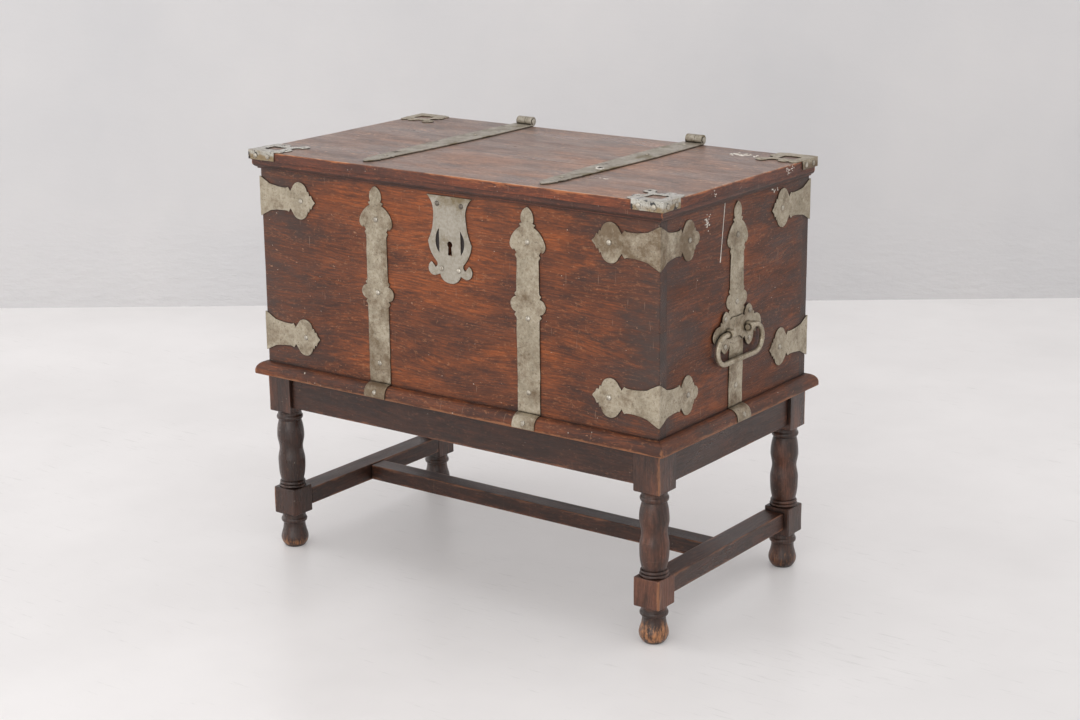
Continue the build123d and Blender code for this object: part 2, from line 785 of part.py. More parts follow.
# ------------------------------------------------------------------ hinges
hinge_span = strap_knuckle + knuckle_gap + leaf_knuckle
knuckle_clear = knuckle_radius + 0.6
blade = hinge_blade_half
blade_end = lid_back - 0.5
blade_path = [
    (0, -hinge_blade_reach),
    ((blade * 0.4, 10 - hinge_blade_reach), (blade * 0.56, 25 - hinge_blade_reach)),
    (blade * 0.72, 28 - hinge_blade_reach),
    (blade * 0.56, 34 - hinge_blade_reach),
    ((blade * 0.72, 46 - hinge_blade_reach), (blade * 0.68, 59 - hinge_blade_reach)),
    (blade * 0.84, 62 - hinge_blade_reach),
    (blade * 0.68, 70 - hinge_blade_reach),
    ((blade * 0.92, -blade_end / 3), (blade * 1.06, 0)),
    ((blade * 1.14, blade_end / 3), (blade, blade_end)),
    (0, blade_end),
]


def knuckle_plane(x):
    """The plane across the hinge axis at a place along it: X points back, Y up."""
    return Plane((x, hinge_y, hinge_z), x_dir=(0, 1, 0), z_dir=(1, 0, 0))


for side, sx in (("left", -1), ("right", 1)):
    strap_start = sx * hinge_x - hinge_span / 2
    leaf_start = strap_start + strap_knuckle + knuckle_gap
    with BuildPart() as strap:
        with BuildSketch(Plane((sx * hinge_x, 0, lid_top))):
            add(plate(blade_path))
        extrude(amount=hinge_strap)
        with BuildSketch(knuckle_plane(leaf_start - knuckle_gap)):
            Circle(knuckle_clear)
        extrude(amount=hinge_span, mode=Mode.SUBTRACT)
        with BuildSketch(knuckle_plane(strap_start)):
            Circle(knuckle_radius)
            with Locations((-knuckle_radius, hinge_strap / 2 - knuckle_lift)):
                Rectangle(2 * knuckle_radius, hinge_strap)
            Circle(hinge_pin_radius + pin_clearance, mode=Mode.SUBTRACT)
        extrude(amount=strap_knuckle)
    strap.part.label = f"hinge_strap_{side}"
    export_step(strap.part, f"parts/hinge_strap_{side}.step")

    leaf_top = hinge_z - knuckle_clear - 2.0
    leaf_path = [
        (0, leaf_top),
        (hinge_leaf_half, leaf_top),
        (hinge_leaf_half, strap_foot),
        (0, strap_foot),
    ]
    with BuildPart() as leaf:
        folded_strap(FACES["back"], -sx * hinge_x, leaf_path, hinge_leaf_half)
        with BuildSketch(knuckle_plane(leaf_start)):
            Circle(knuckle_radius)
            tongue = hinge_z - leaf_top + iron
            with Locations((half_y + iron / 2 - hinge_y, -tongue / 2)):
                Rectangle(iron, tongue)
            Circle(hinge_pin_radius, mode=Mode.SUBTRACT)
        extrude(amount=leaf_knuckle)
    folded_parts.append(leaf.part)
    leaf.part.label = f"hinge_leaf_{side}"
    export_step(leaf.part, f"parts/hinge_leaf_{side}.step")

flush = (Align.CENTER, Align.CENTER, Align.MIN)
with BuildPart() as pins:
    for sx in (-1, 1):
        start = sx * hinge_x - hinge_span / 2 - knuckle_gap
        with Locations(knuckle_plane(start)):
            Cylinder(hinge_pin_radius, hinge_span + knuckle_gap, align=flush)
        with Locations(knuckle_plane(start - pin_head), knuckle_plane(start + hinge_span + knuckle_gap)):
            Cylinder(pin_head_radius, pin_head, align=flush)
pins.part.label = "hinge_pins"
export_step(pins.part, "parts/hinge_pins.step")

# ------------------------------------------------------------------ lid corner plates
reach = corner_reach
corner_path = [
    (0, 0),
    (corner_flange_front, 0),
    (reach * 0.83, reach * 0.02),
    ((reach * 0.95, reach * 0.11), (reach * 0.85, reach * 0.23)),
    ((reach * 0.98, reach * 0.36), (reach * 0.85, reach * 0.5)),
    ((reach * 0.79, reach * 0.63), (reach * 0.87, reach * 0.753)),
    ((reach * 1.006, reach * 1.006), (reach * 0.753, reach * 0.87)),
    ((reach * 0.63, reach * 0.79), (reach * 0.5, reach * 0.85)),
    ((reach * 0.36, reach * 0.98), (reach * 0.23, reach * 0.85)),
    ((reach * 0.11, reach * 0.95), (reach * 0.02, reach * 0.83)),
    (0, corner_flange_side),
    (0, 0),
]
small_slots = [(reach * 0.84, reach * 0.36), (reach * 0.9, reach * 0.9), (reach * 0.36, reach * 0.84)]
for corner, (sx, sy) in leg_places.items():
    edge_y = lid_front if sy < 0 else lid_back
    turned = sx * sy  # keeps local X and Y pointing into the lid at every corner
    with BuildPart() as corner_plate:
        top_plane = Plane((sx * lid_x, edge_y, lid_top), x_dir=(-sx, 0, 0), z_dir=(0, 0, turned))
        with BuildSketch(top_plane):
            add(plate(corner_path, mirrored=False))
            with Locations((reach * 0.43, reach * 0.45)):
                RectangleRounded(reach * 0.44, reach * 0.38, 4.0, mode=Mode.SUBTRACT)
            with Locations(*small_slots):
                Circle(reach * 0.04, mode=Mode.SUBTRACT)
        extrude(amount=turned * corner_iron)
        flange_z = lid_top + corner_iron - (corner_flange_height + corner_iron) / 2
        front_flange = (
            sx * (lid_x + corner_iron - (corner_flange_front + corner_iron) / 2),
            edge_y + sy * corner_iron / 2,
            flange_z,
        )
        end_flange = (
            sx * (lid_x + corner_iron / 2),
            edge_y + sy * (corner_iron - (corner_flange_side + corner_iron) / 2),
            flange_z,
        )
        flange_height = corner_flange_height + corner_iron
        with Locations(front_flange):
            Box(corner_flange_front + corner_iron, corner_iron, flange_height)
        with Locations(end_flange):
            Box(corner_iron, corner_flange_side + corner_iron, flange_height)
    corner_plate.part.label = f"lid_corner_plate_{corner}"
    export_step(corner_plate.part, f"parts/lid_corner_plate_{corner}.step")

# ------------------------------------------------------------------ nails
with BuildPart() as dome:
    with BuildSketch(Plane.XZ):
        with BuildLine():
            cap_radius = (nail_radius**2 + nail_rise**2) / (2 * nail_rise)
            RadiusArc((nail_radius, 0), (0, nail_rise), -cap_radius)
            Line((0, nail_rise), (0, 0))
            Line((0, 0), (nail_radius, 0))
        make_face()
    revolve(axis=Axis.Z)
domed_nail = dome.part

fold_tilt = math.radians(fold_nail_tilt)
fold_radius = plinth_round + iron
fold_sink = nail_radius**2 / (2 * fold_radius)
fold_out = plinth_flat + (fold_radius - fold_sink) * math.cos(fold_tilt)
fold_z = chest_foot + plinth_lip + (fold_radius - fold_sink) * math.sin(fold_tilt)


def nail_place(face, across, height, lift=iron):
    """Where a nail sits on a plate of a given thickness on a wall."""
    point = face.origin + face.x_dir * across + up * height + face.z_dir * lift
    return Plane(point, x_dir=face.x_dir, z_dir=face.z_dir)


def fold_place(face, across):
    """Where a nail sits on the rounded part of a strap's folded foot."""
    point = face.origin + face.x_dir * across + face.z_dir * fold_out + up * fold_z
    tilted = face.z_dir * math.cos(fold_tilt) + up * math.sin(fold_tilt)
    return Plane(point, x_dir=face.x_dir, z_dir=tilted)


nailed_straps = []
for side, across, *_ in STRAPS.values():
    if side == "front":
        nailed_straps.append((side, across, front_nail_drops, low_nail_rises["front"]))
    else:
        nailed_straps.append((side, across, end_nail_drops, low_nail_rises["end"]))
for across in (-hinge_x, hinge_x):
    nailed_straps.append(("back", across, leaf_nail_drops, low_nail_rises["leaf"]))
chest_places = []
for side, across, drops, rise in nailed_straps:
    nail_heights = [iron_top - drop for drop in drops] + [chest_foot + rise]
    chest_places += [nail_place(FACES[side], across, height) for height in nail_heights]
for corner, heights in mount_heights.items():
    sx, sy = leg_places[corner]
    end_arm = mount_end_arms[corner.split("_")[0]]
    for height in heights:
        along_x = sx * (half_x - 0.74 * mount_arm)
        along_y = sy * (half_y - 0.74 * end_arm)
        if sy < 0:
            chest_places.append(nail_place(FACES["front"], along_x, height))
        else:
            chest_places.append(nail_place(FACES["back"], -along_x, height))
        if sx < 0:
            chest_places.append(nail_place(FACES["left"], -along_y, height))
        else:
            chest_places.append(nail_place(FACES["right"], along_y, height))
for across, height in (lock_point(0.53, 0.095), lock_point(0.38, 0.84)):
    chest_places += [nail_place(lock_face, iron_shift + sign * across, height) for sign in (-1, 1)]
for side, across in HANDLES.items():
    for sign in (-1, 1):
        for rise in wing_nail_heights:
            place = nail_place(FACES[side], across + sign * wing / 2, handle_height + rise, plate_front)
            chest_places.append(place)

fold_places = [fold_place(FACES[side], across) for side, across, *_ in nailed_straps]

with BuildPart() as chest_nails:
    with Locations(*fold_places):
        add(domed_nail)
    for piece in folded_parts:
        add(piece, mode=Mode.SUBTRACT)
    with Locations(*chest_places):
        add(domed_nail)
chest_nails.part.label = "chest_nails"
export_step(chest_nails.part, "parts/chest_nails.step")

lid_places = [
    Plane((sx * hinge_x, y, lid_top + hinge_strap)) for sx in (-1, 1) for y in strap_nail_places
]
nail_z = lid_top - corner_flange_height / 2
for sx, sy in leg_places.values():
    edge_y = lid_front if sy < 0 else lid_back
    for share in (0.26, 0.76):
        x = sx * (lid_x - share * corner_flange_front)
        y = edge_y - sy * share * corner_flange_side
        lid_places.append(Plane((x, edge_y + sy * corner_iron, nail_z), (1, 0, 0), (0, sy, 0)))
        lid_places.append(Plane((sx * (lid_x + corner_iron), y, nail_z), (0, 1, 0), (sx, 0, 0)))

with BuildPart() as lid_nails:
    with Locations(*lid_places):
        add(domed_nail)
lid_nails.part.label = "lid_nails"
export_step(lid_nails.part, "parts/lid_nails.step")
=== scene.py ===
"""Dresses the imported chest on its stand: worn oak, hammered tinned irons and a studio round it.

Every wooden and iron piece starts from its CAD solid, whose outline and place it keeps. The
copy gets rubbed edges, an uneven surface and a grain that follows the piece.
"""

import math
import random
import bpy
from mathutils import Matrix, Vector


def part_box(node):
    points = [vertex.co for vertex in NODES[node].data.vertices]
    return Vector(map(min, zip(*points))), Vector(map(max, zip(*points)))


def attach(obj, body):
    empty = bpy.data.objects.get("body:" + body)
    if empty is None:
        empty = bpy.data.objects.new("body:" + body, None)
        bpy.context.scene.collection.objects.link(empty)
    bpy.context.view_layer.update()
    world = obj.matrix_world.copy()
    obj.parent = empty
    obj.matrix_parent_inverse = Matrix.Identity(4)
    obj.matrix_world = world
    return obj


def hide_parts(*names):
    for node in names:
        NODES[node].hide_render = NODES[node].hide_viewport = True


bl_info = {
    "name": "Boarded Chest on Stand",
    "version": (1, 0, 0),
    "blender": (4, 5, 0),
    "location": "View3D > Sidebar > Chest on Stand",
    "description": "Worn oak, hammered irons and a studio for a chest on a turned stand",
    "category": "Object",
}

import bmesh
import bpy
from bpy.props import FloatProperty, FloatVectorProperty, PointerProperty
from mathutils import Matrix, Vector, noise

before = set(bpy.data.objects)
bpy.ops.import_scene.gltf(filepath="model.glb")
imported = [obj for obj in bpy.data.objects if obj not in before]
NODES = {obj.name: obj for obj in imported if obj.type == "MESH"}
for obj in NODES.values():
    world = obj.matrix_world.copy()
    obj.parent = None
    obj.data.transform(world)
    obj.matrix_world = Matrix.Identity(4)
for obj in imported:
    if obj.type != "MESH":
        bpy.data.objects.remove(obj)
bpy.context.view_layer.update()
MM = 0.001
WAVE_SPAN = 0.314  # rings of a Wave texture are this far apart at a scale of 1

# sockets that share a name with others of their node are told by number
FROM_MIN, FROM_MAX, TO_MIN, TO_MAX = 1, 2, 3, 4  # Map Range
FACTOR, COLOUR_A, COLOUR_B = 0, 6, 7  # Mix, of colours

CASE, LID, BOLT = "case", "lid", "lock_bolt"
SIDES = ("left", "right")
CORNERS = ("front_left", "front_right", "back_left", "back_right")
ALONG_X, ALONG_Y, ALONG_Z = 0, 1, 2  # the way the grain runs
# the axes along the grain, across it and into the board
GRAIN_AXES = {ALONG_X: (0, 2, 1), ALONG_Y: (1, 2, 0), ALONG_Z: (2, 0, 1)}


def linear(code):
    """The linear colour of an sRGB hex value such as "8a6a4b"."""
    shares = [int(code[i : i + 2], 16) / 255 for i in (0, 2, 4)]
    lit = [s / 12.92 if s <= 0.04045 else ((s + 0.055) / 1.055) ** 2.4 for s in shares]
    return (*lit, 1.0)


def per_mm(size):
    """How many times a pattern of that size in millimetres repeats in a metre."""
    return 1000.0 / size


def add_node(tree, kind, inputs=None, **settings):
    """Adds a node with its settings; a value in inputs that is a socket is linked."""
    made = tree.nodes.new(kind)
    for name, value in settings.items():
        setattr(made, name, value)
    for key, value in (inputs or {}).items():
        if isinstance(value, bpy.types.NodeSocket):
            tree.links.new(value, made.inputs[key])
        else:
            made.inputs[key].default_value = value
    return made


def blank_material(name):
    """A new node material with an output only, its tree and its Principled shader."""
    made = bpy.data.materials.new(name)
    made.use_nodes = True
    tree = made.node_tree
    tree.nodes.clear()
    shader = add_node(tree, "ShaderNodeBsdfPrincipled")
    add_node(tree, "ShaderNodeOutputMaterial", {"Surface": shader.outputs["BSDF"]})
    return made, tree, shader


# ---------------------------------------------------------------- materials
def patchy(tree, place, sizes, none, full, detail=4.0, roughness=0.6, lift=0.0):
    """A mask of patches so many millimetres along, across and into the piece.

    It is 0 where the noise is below one value and 1 above the other; a lift raises the noise.
    """
    sized = add_node(tree, "ShaderNodeMapping", {
        "Vector": place, "Scale": [per_mm(size) for size in sizes]}).outputs[0]
    clouds = add_node(tree, "ShaderNodeTexNoise", {
        "Vector": sized, "Scale": 1.0, "Detail": detail, "Roughness": roughness}).outputs["Fac"]
    raised = add_node(tree, "ShaderNodeMath", {0: clouds, 1: lift}, operation="ADD").outputs[0]
    return add_node(tree, "ShaderNodeMapRange", {
        "Value": raised, FROM_MIN: none, FROM_MAX: full, TO_MIN: 0.0, TO_MAX: 1.0}).outputs[0]


def summed(tree, *shares):
    """The sum of masks, each times its weight."""
    total = 0.0
    for value, weight in shares:
        step = {0: value, 1: weight, 2: total}
        total = add_node(tree, "ShaderNodeMath", step, operation="MULTIPLY_ADD").outputs[0]
    return total


def laid_over(tree, colour, layers):
    """Lays colours on a colour, each by its mask and the most that it may cover."""
    for over, where, share in layers:
        part = add_node(tree, "ShaderNodeMath", {0: where, 1: share}, operation="MULTIPLY")
        colour = add_node(tree, "ShaderNodeMix", {
            FACTOR: part.outputs[0], COLOUR_A: colour, COLOUR_B: linear(over)},
            data_type="RGBA").outputs[2]
    return colour


def shade_and_dirt_in_corners(tree, reach, full, none):
    """A mask of the corners where shade falls and dirt gathers, so many millimetres wide: painted
    shade and dirt.

    It is 1 where no more than one share of the sky is open, and 0 from the other share up.
    """
    open_sky = add_node(tree, "ShaderNodeAmbientOcclusion", {"Distance": reach * MM}, samples=6)
    return add_node(tree, "ShaderNodeMapRange", {
        "Value": open_sky.outputs["AO"], FROM_MIN: full, FROM_MAX: none, TO_MIN: 1.0,
        TO_MAX: 0.0}).outputs[0]


def oak(name, stain, glow, smudge, rubbed, roughness, sheen, rub_share=0.8, fleck_share=0.7,
        marks=1.0, figure=1.0):
    """Stained oak: soft clouds of stain, long fibres, open pores, and wood rubbed pale.

    The shares scale how much shows of the rubbed edges, of the flecks where the stain is thin, of
    knocks and scratches, and of the grain's figure.
    """
    made, tree, shader = blank_material(name)
    grain = add_node(tree, "ShaderNodeAttribute", attribute_name="grain").outputs["Vector"]
    worn, end_grain, near_end, handled, kicked = [
        add_node(tree, "ShaderNodeAttribute", attribute_name=mark).outputs["Fac"]
        for mark in ("worn", "end_grain", "near_end", "handled", "kicked")]
    # the figure wanders a few centimetres over an arm's length
    wander = add_node(tree, "ShaderNodeMapping", {
        "Vector": grain, "Scale": (per_mm(420), per_mm(110), per_mm(110))}).outputs[0]
    drift = add_node(tree, "ShaderNodeTexNoise", {
        "Vector": wander, "Scale": 1.0, "Detail": 2.0}).outputs["Color"]
    bent = add_node(tree, "ShaderNodeVectorMath", {
        0: drift, 1: (0.0, 0.06, 0.06), 2: grain}, operation="MULTIPLY_ADD").outputs[0]
    # year rings 5 mm apart, cut through by the board's face
    waves = add_node(tree, "ShaderNodeTexWave", {
        "Vector": bent, "Scale": WAVE_SPAN * per_mm(5), "Distortion": 2.5, "Detail": 2.0,
        "Detail Scale": 1.2}, wave_type="RINGS", rings_direction="X").outputs["Fac"]
    rings = add_node(tree, "ShaderNodeMapRange", {
        "Value": waves, FROM_MIN: 0.45, FROM_MAX: 0.95, TO_MIN: 0.0, TO_MAX: 1.0}).outputs[0]
    # hands keep the middle of a board warm and its ends dull
    warmth = patchy(tree, grain, (240, 80, 80), 0.56, 0.72, 6.0, 0.66, lift=summed(
        tree, (handled, 0.25)))
    clouds = patchy(tree, grain, (110, 45, 45), 0.45, 0.60, 6.0, 0.72, lift=summed(
        tree, (handled, -0.07)))
    fibres = patchy(tree, bent, (60, 2.6, 2.6), 0.42, 0.58, 4.0)
    cracks = patchy(tree, bent, (120, 2.2, 2.2), 0.69, 0.75, 2.0)
    # open pores, drawn 1 mm wide so that they still show
    pores = patchy(tree, bent, (13, 1.2, 1.2), 0.53, 0.66, 2.0)
    # where the stain is rubbed thin, the wood glows through in bands and flecks
    bands = patchy(tree, bent, (240, 22, 22), 0.44, 0.70, 5.0, 0.66)
    streaks = patchy(tree, bent, (70, 6, 6), 0.56, 0.68, 5.0, 0.72, lift=summed(
        tree, (bands, 0.08)))
    flecks = patchy(tree, bent, (10, 4, 4), 0.59, 0.68, 4.0, 0.72, lift=summed(
        tree, (bands, 0.08)))
    # rubbed edges break up along the fibres
    rub = summed(tree, (worn, 0.42), (warmth, 0.05))
    edges = patchy(tree, grain, (42, 9, 9), 0.68, 0.82, 6.0, 0.7, lift=rub)
    knocks = patchy(tree, grain, (11, 7, 7), 0.72, 0.75, 2.0)
    scratches = patchy(tree, grain, (2.4, 60, 60), 0.715, 0.76, 2.0)
    specks = patchy(tree, grain, (6, 5, 5), 0.785, 0.80, 1.0)
    layers = [(glow, warmth, 0.75), (smudge, clouds, 0.7), (glow, streaks, 0.45 * figure)]
    # dirt near a board's ends, and over the end pieces painted shade and a grey sheen for the
    # light on that side
    ends_dirt_and_sides_shade = add_node(tree, "ShaderNodeMath", {
        0: near_end, 1: summed(tree, (clouds, 0.6), (near_end, 0.5))}, operation="MULTIPLY")
    layers += [
        (smudge, rings, 0.25), (smudge, fibres, 0.5 * figure), ("20130e", pores, 0.36),
        ("1a0f0b", cracks, 0.6), (rubbed, flecks, fleck_share),
        ("443833", ends_dirt_and_sides_shade.outputs[0], 0.8),
        ("3d3431", end_grain, 0.45), (rubbed, edges, rub_share),
    ]
    # feet and mops took the finish off the balls, and the sole stays dark
    scuffs = patchy(tree, bent, (24, 5, 5), 0.62, 0.80, 5.0, 0.74, lift=summed(
        tree, (kicked, 0.2)))
    raw = add_node(tree, "ShaderNodeMath", {0: scuffs, 1: kicked}, operation="MULTIPLY")
    layers += [
        ("ab754c", raw.outputs[0], 1.0), ("a5795a", knocks, 0.8 * marks),
        ("a98a72", scratches, 0.55 * marks), ("cdc2b2", specks, 0.8 * marks),
        # painted shade and dirt in the corners: where pieces meet, under mouldings and beside the
        # irons
        ("18100c", shade_and_dirt_in_corners(tree, 7.0, 0.5, 0.9), 0.85),
    ]
    colour = laid_over(tree, linear(stain), layers)
    tree.links.new(colour, shader.inputs["Base Color"])
    # wax lies unevenly along the board
    wax = patchy(tree, grain, (240, 60, 60), 0.35, 0.65, 5.0)
    gloss = add_node(tree, "ShaderNodeMapRange", {
        "Value": wax, FROM_MIN: 0.0, FROM_MAX: 1.0, TO_MIN: roughness - 0.07,
        TO_MAX: roughness + 0.12})
    tree.links.new(gloss.outputs[0], shader.inputs["Roughness"])
    shader.inputs["IOR"].default_value = 1.44  # beeswax
    if sheen:
        # open fibres break the polish into lines
        polish = add_node(tree, "ShaderNodeMapRange", {
            "Value": summed(tree, (fibres, 0.6), (rings, 0.4)), FROM_MIN: 0.0, FROM_MAX: 1.0,
            TO_MIN: 1.25 * sheen, TO_MAX: 0.45 * sheen})
        tree.links.new(polish.outputs[0], shader.inputs["Coat Weight"])
        shader.inputs["Coat Roughness"].default_value = 0.34
    relief = summed(
        tree, (fibres, -0.5), (pores, -0.5), (rings, -0.4), (cracks, -0.8), (knocks, -1.2),
        (clouds, 0.3))
    bump = add_node(tree, "ShaderNodeBump", {
        "Strength": 0.6, "Distance": 0.35 * MM, "Height": relief})
    tree.links.new(bump.outputs[0], shader.inputs["Normal"])
    return made


def tinned_iron(name, sheet, bright, dull, brown, roughness, metal, stains=(), pitting=0.5):
    """Hammered sheet iron with old tinning: soft grey mottle, brown rust, pits, dark rims and
    painted shade in its corners.

    stains lists the size in millimetres, the colour and the start of spots of a later coat.
    """
    made, tree, shader = blank_material(name)
    place = add_node(tree, "ShaderNodeTexCoord").outputs["Object"]
    worn, browned = [
        add_node(tree, "ShaderNodeAttribute", attribute_name=mark).outputs["Fac"]
        for mark in ("worn", "browned")]
    mottle = patchy(tree, place, (7, 7, 7), 0.38, 0.62, 5.0, 0.7)
    clouds = patchy(tree, place, (38, 38, 38), 0.44, 0.64, 6.0, 0.7)
    rust = patchy(tree, place, (50, 50, 50), 0.52, 0.70, 6.0, 0.74, lift=browned)
    # corrosion pits, drawn 2 mm wide so that they still show
    pits = patchy(tree, place, (4.2, 4.2, 4.2), 0.55, 0.68, 3.0)
    rim = add_node(tree, "ShaderNodeMath", {0: worn, 1: clouds}, operation="MULTIPLY").outputs[0]
    layers = [
        (bright, mottle, 0.5), (dull, clouds, 0.45), (brown, rust, 0.75),
        ("51463a", pits, pitting), ("5d4d3a", rim, 0.9),
    ]
    for size, stain, start in stains:
        # what is left of a later coat of varnish or blueing
        spots = patchy(tree, place, (size, size, size), start, start + 0.05, 3.0, 0.5)
        layers.append((stain, spots, 0.85))
    # painted shade and dirt in the corners, such as round the nails' feet and at the edges by the
    # wood
    layers.append(("2a231b", shade_and_dirt_in_corners(tree, 4.0, 0.6, 0.92), 0.75))
    tree.links.new(laid_over(tree, linear(sheet), layers), shader.inputs["Base Color"])
    shader.inputs["Metallic"].default_value = metal
    finish = add_node(tree, "ShaderNodeMapRange", {
        "Value": clouds, FROM_MIN: 0.0, FROM_MAX: 1.0, TO_MIN: roughness - 0.06,
        TO_MAX: roughness + 0.1})
    tree.links.new(finish.outputs[0], shader.inputs["Roughness"])
    # hammer marks 14 mm across under the pits
    dents = add_node(tree, "ShaderNodeTexVoronoi", {
        "Vector": place, "Scale": per_mm(14), "Smoothness": 0.9}, feature="SMOOTH_F1")
    relief = summed(tree, (dents.outputs["Distance"], 1.4), (pits, -0.3), (mottle, 0.25))
    bump = add_node(tree, "ShaderNodeBump", {
        "Strength": 0.5, "Distance": 0.6 * MM, "Height": relief})
    tree.links.new(bump.outputs[0], shader.inputs["Normal"])
    return made


# each finish with its function, its colours, its roughness and its sheen or metal, and its shares
FINISHES = {
    # the chest's boards: warm red brown with dark clouds, and little shine
    "Stained waxed oak": (oak, ("6b381d", "a35526", "331e17", "a06a46", 0.5, 0.0),
                          dict(rub_share=0.6, fleck_share=0.5)),
    # the lid's top: paler, with a soft mirror of the room broken by the fibres
    "Polished lid oak": (oak, ("845f4b", "b07652", "43312b", "cb9c7b", 0.34, 0.40), {}),
    # the lid's rim and its moulding: red brown, pale and smooth along the edges
    "Rubbed edge oak": (oak, ("69351f", "8c4524", "3a2018", "b0683c", 0.44, 0.1),
                        dict(fleck_share=0.3)),
    # the faces that look down under that moulding: grey brown, painted shade
    "Shaded moulding oak": (oak, ("503229", "6c4333", "2f211c", "80583f", 0.55, 0.0),
                          dict(fleck_share=0.3, marks=0.5)),
    # aprons and stretchers: nearly black brown with a thin shine
    "Dark stand oak": (oak, ("432619", "683722", "251813", "80533a", 0.34, 0.08),
                       dict(fleck_share=0.25, marks=0.3)),
    # the turned legs: dark and smooth, with long highlights and rubbed raw at the foot
    "Turned leg oak": (oak, ("3a2218", "7c4a33", "231711", "936241", 0.32, 0.25),
                       dict(fleck_share=0.15, marks=0.3, figure=0.5)),
    # the inside, never stained: pale brown and dry
    "Bare inside oak": (oak, ("6d4d34", "8a6546", "4b3423", "94704f", 0.7, 0.0),
                        dict(rub_share=0.3)),
    # straps, mounts and handles: dull yellowish grey, brown where the tinning is gone
    "Tinned sheet iron": (tinned_iron, ("aa9e89", "cbc2b0", "7c715e", "68523a", 0.44, 0.75), {}),
    # the lock plate, rubbed by hands and keys: smoother and greyer
    "Polished lock iron": (tinned_iron, ("a69e90", "c6c1b6", "878070", "776542", 0.40, 0.75),
                           dict(pitting=0.12)),
    # the hinges: grey with yellow and dark brown blotches of old varnish
    "Varnished hinge iron": (tinned_iron, ("a69e90", "bdb5a6", "7a715f", "5f4c38", 0.42, 0.75),
                             dict(stains=((52, "7b6f52", 0.58), (30, "4b3f2c", 0.64)))),
    # the lid's front corner plates: the brightest, with blue-black spots
    "Blued corner iron": (tinned_iron, ("c6c3b9", "e0ded5", "938c7e", "8a6f40", 0.27, 0.85),
                          dict(stains=((13, "1a202d", 0.60),))),
    # nail heads: small bright domes whose feet are darkened by painted shade and dirt
    "Rubbed nail iron": (tinned_iron, ("b0a899", "d6d0c4", "83796a", "3a3028", 0.38, 0.8), {}),
    # the lock's works: black from the forge
    "Dark forged iron": (tinned_iron, ("3e3932", "4c463d", "2b2722", "4a3524", 0.6, 0.7), {}),
}


def finish_named(name):
    """The material of a finish, made when the first piece asks for it."""
    if name not in bpy.data.materials:
        kind, values, shares = FINISHES[name]
        kind(name, *values, **shares)
    return bpy.data.materials[name]


def mottled_paint(name, colour, clouds_colour, size, share, roughness):
    """A flat paint with soft clouds so many millimetres across.

    It returns the material, its tree, its shader, the place in metres and the mask of the clouds.
    """
    made, tree, shader = blank_material(name)
    place = add_node(tree, "ShaderNodeTexCoord").outputs["Object"]
    clouds = patchy(tree, place, (size, size, size), 0.35, 0.65)
    colour = laid_over(tree, linear(colour), [(clouds_colour, clouds, share)])
    tree.links.new(colour, shader.inputs["Base Color"])
    shader.inputs["Roughness"].default_value = roughness
    return made, tree, shader, place, clouds


def splash_paint():
    """Dried lime paint: chalky off-white, thin and grey at its rims."""
    made, tree, shader, _, chalk = mottled_paint(
        "Dried lime paint", "e8e3d9", "a1978a", 4, 0.5, 0.75)
    bump = add_node(tree, "ShaderNodeBump", {
        "Strength": 0.4, "Distance": 0.3 * MM, "Height": chalk})
    tree.links.new(bump.outputs[0], shader.inputs["Normal"])
    return made


def floor_paint():
    """Rolled gloss paint on boards: soft clouds, and thin scuffs where feet pass."""
    made, tree, shader = blank_material("Painted studio floor")
    place = add_node(tree, "ShaderNodeTexCoord").outputs["Object"]
    clouds = patchy(tree, place, (700, 700, 700), 0.35, 0.65)
    lanes = patchy(tree, place, (500, 500, 500), 0.0, 1.0)
    scuffs = patchy(tree, place, (90, 9, 40), 0.76, 0.90, 5.0, 0.7, lift=summed(
        tree, (lanes, 0.3)))
    colour = laid_over(tree, linear("dbd8d7"), [("d1cecd", clouds, 1.0), ("a9a6a4", scuffs, 0.5)])
    tree.links.new(colour, shader.inputs["Base Color"])
    shader.inputs["Roughness"].default_value = 0.34
    # the eye and what mirrors the floor see it a little paler, under the chest too
    ray = add_node(tree, "ShaderNodeLightPath").outputs
    seen = summed(tree, *[(ray[f"Is {kind} Ray"], 0.165)
                          for kind in ("Camera", "Glossy", "Transmission")])
    tree.links.new(seen, shader.inputs["Emission Strength"])
    shader.inputs["Emission Color"].default_value = linear("f0eeed")
    return made


def wall_paint():
    """Matt paint on old plaster, rough where it meets the floor."""
    made, tree, shader, place, _ = mottled_paint(
        "Painted plaster wall", "dcdada", "d4d3d4", 800, 1.0, 0.8)
    # the lumps fade out 300 mm up
    foot = add_node(tree, "ShaderNodeMapRange", {
        "Value": add_node(tree, "ShaderNodeSeparateXYZ", {0: place}).outputs["Z"],
        FROM_MIN: 0.0, FROM_MAX: 0.3, TO_MIN: 1.0, TO_MAX: 0.12}).outputs[0]
    lumps = patchy(tree, place, (60, 60, 24), 0.3, 0.7, 6.0, 0.6)
    lumpy = add_node(tree, "ShaderNodeMath", {0: foot, 1: lumps}, operation="MULTIPLY")
    bump = add_node(tree, "ShaderNodeBump", {
        "Strength": 0.5, "Distance": 4 * MM, "Height": lumpy.outputs[0]})
    tree.links.new(bump.outputs[0], shader.inputs["Normal"])
    # seen from behind, the wall lets the chest show
    rear = add_node(tree, "ShaderNodeNewGeometry").outputs["Backfacing"]
    shown = add_node(tree, "ShaderNodeMath", {0: 1.0, 1: rear}, operation="SUBTRACT")
    tree.links.new(shown.outputs[0], shader.inputs["Alpha"])
    return made


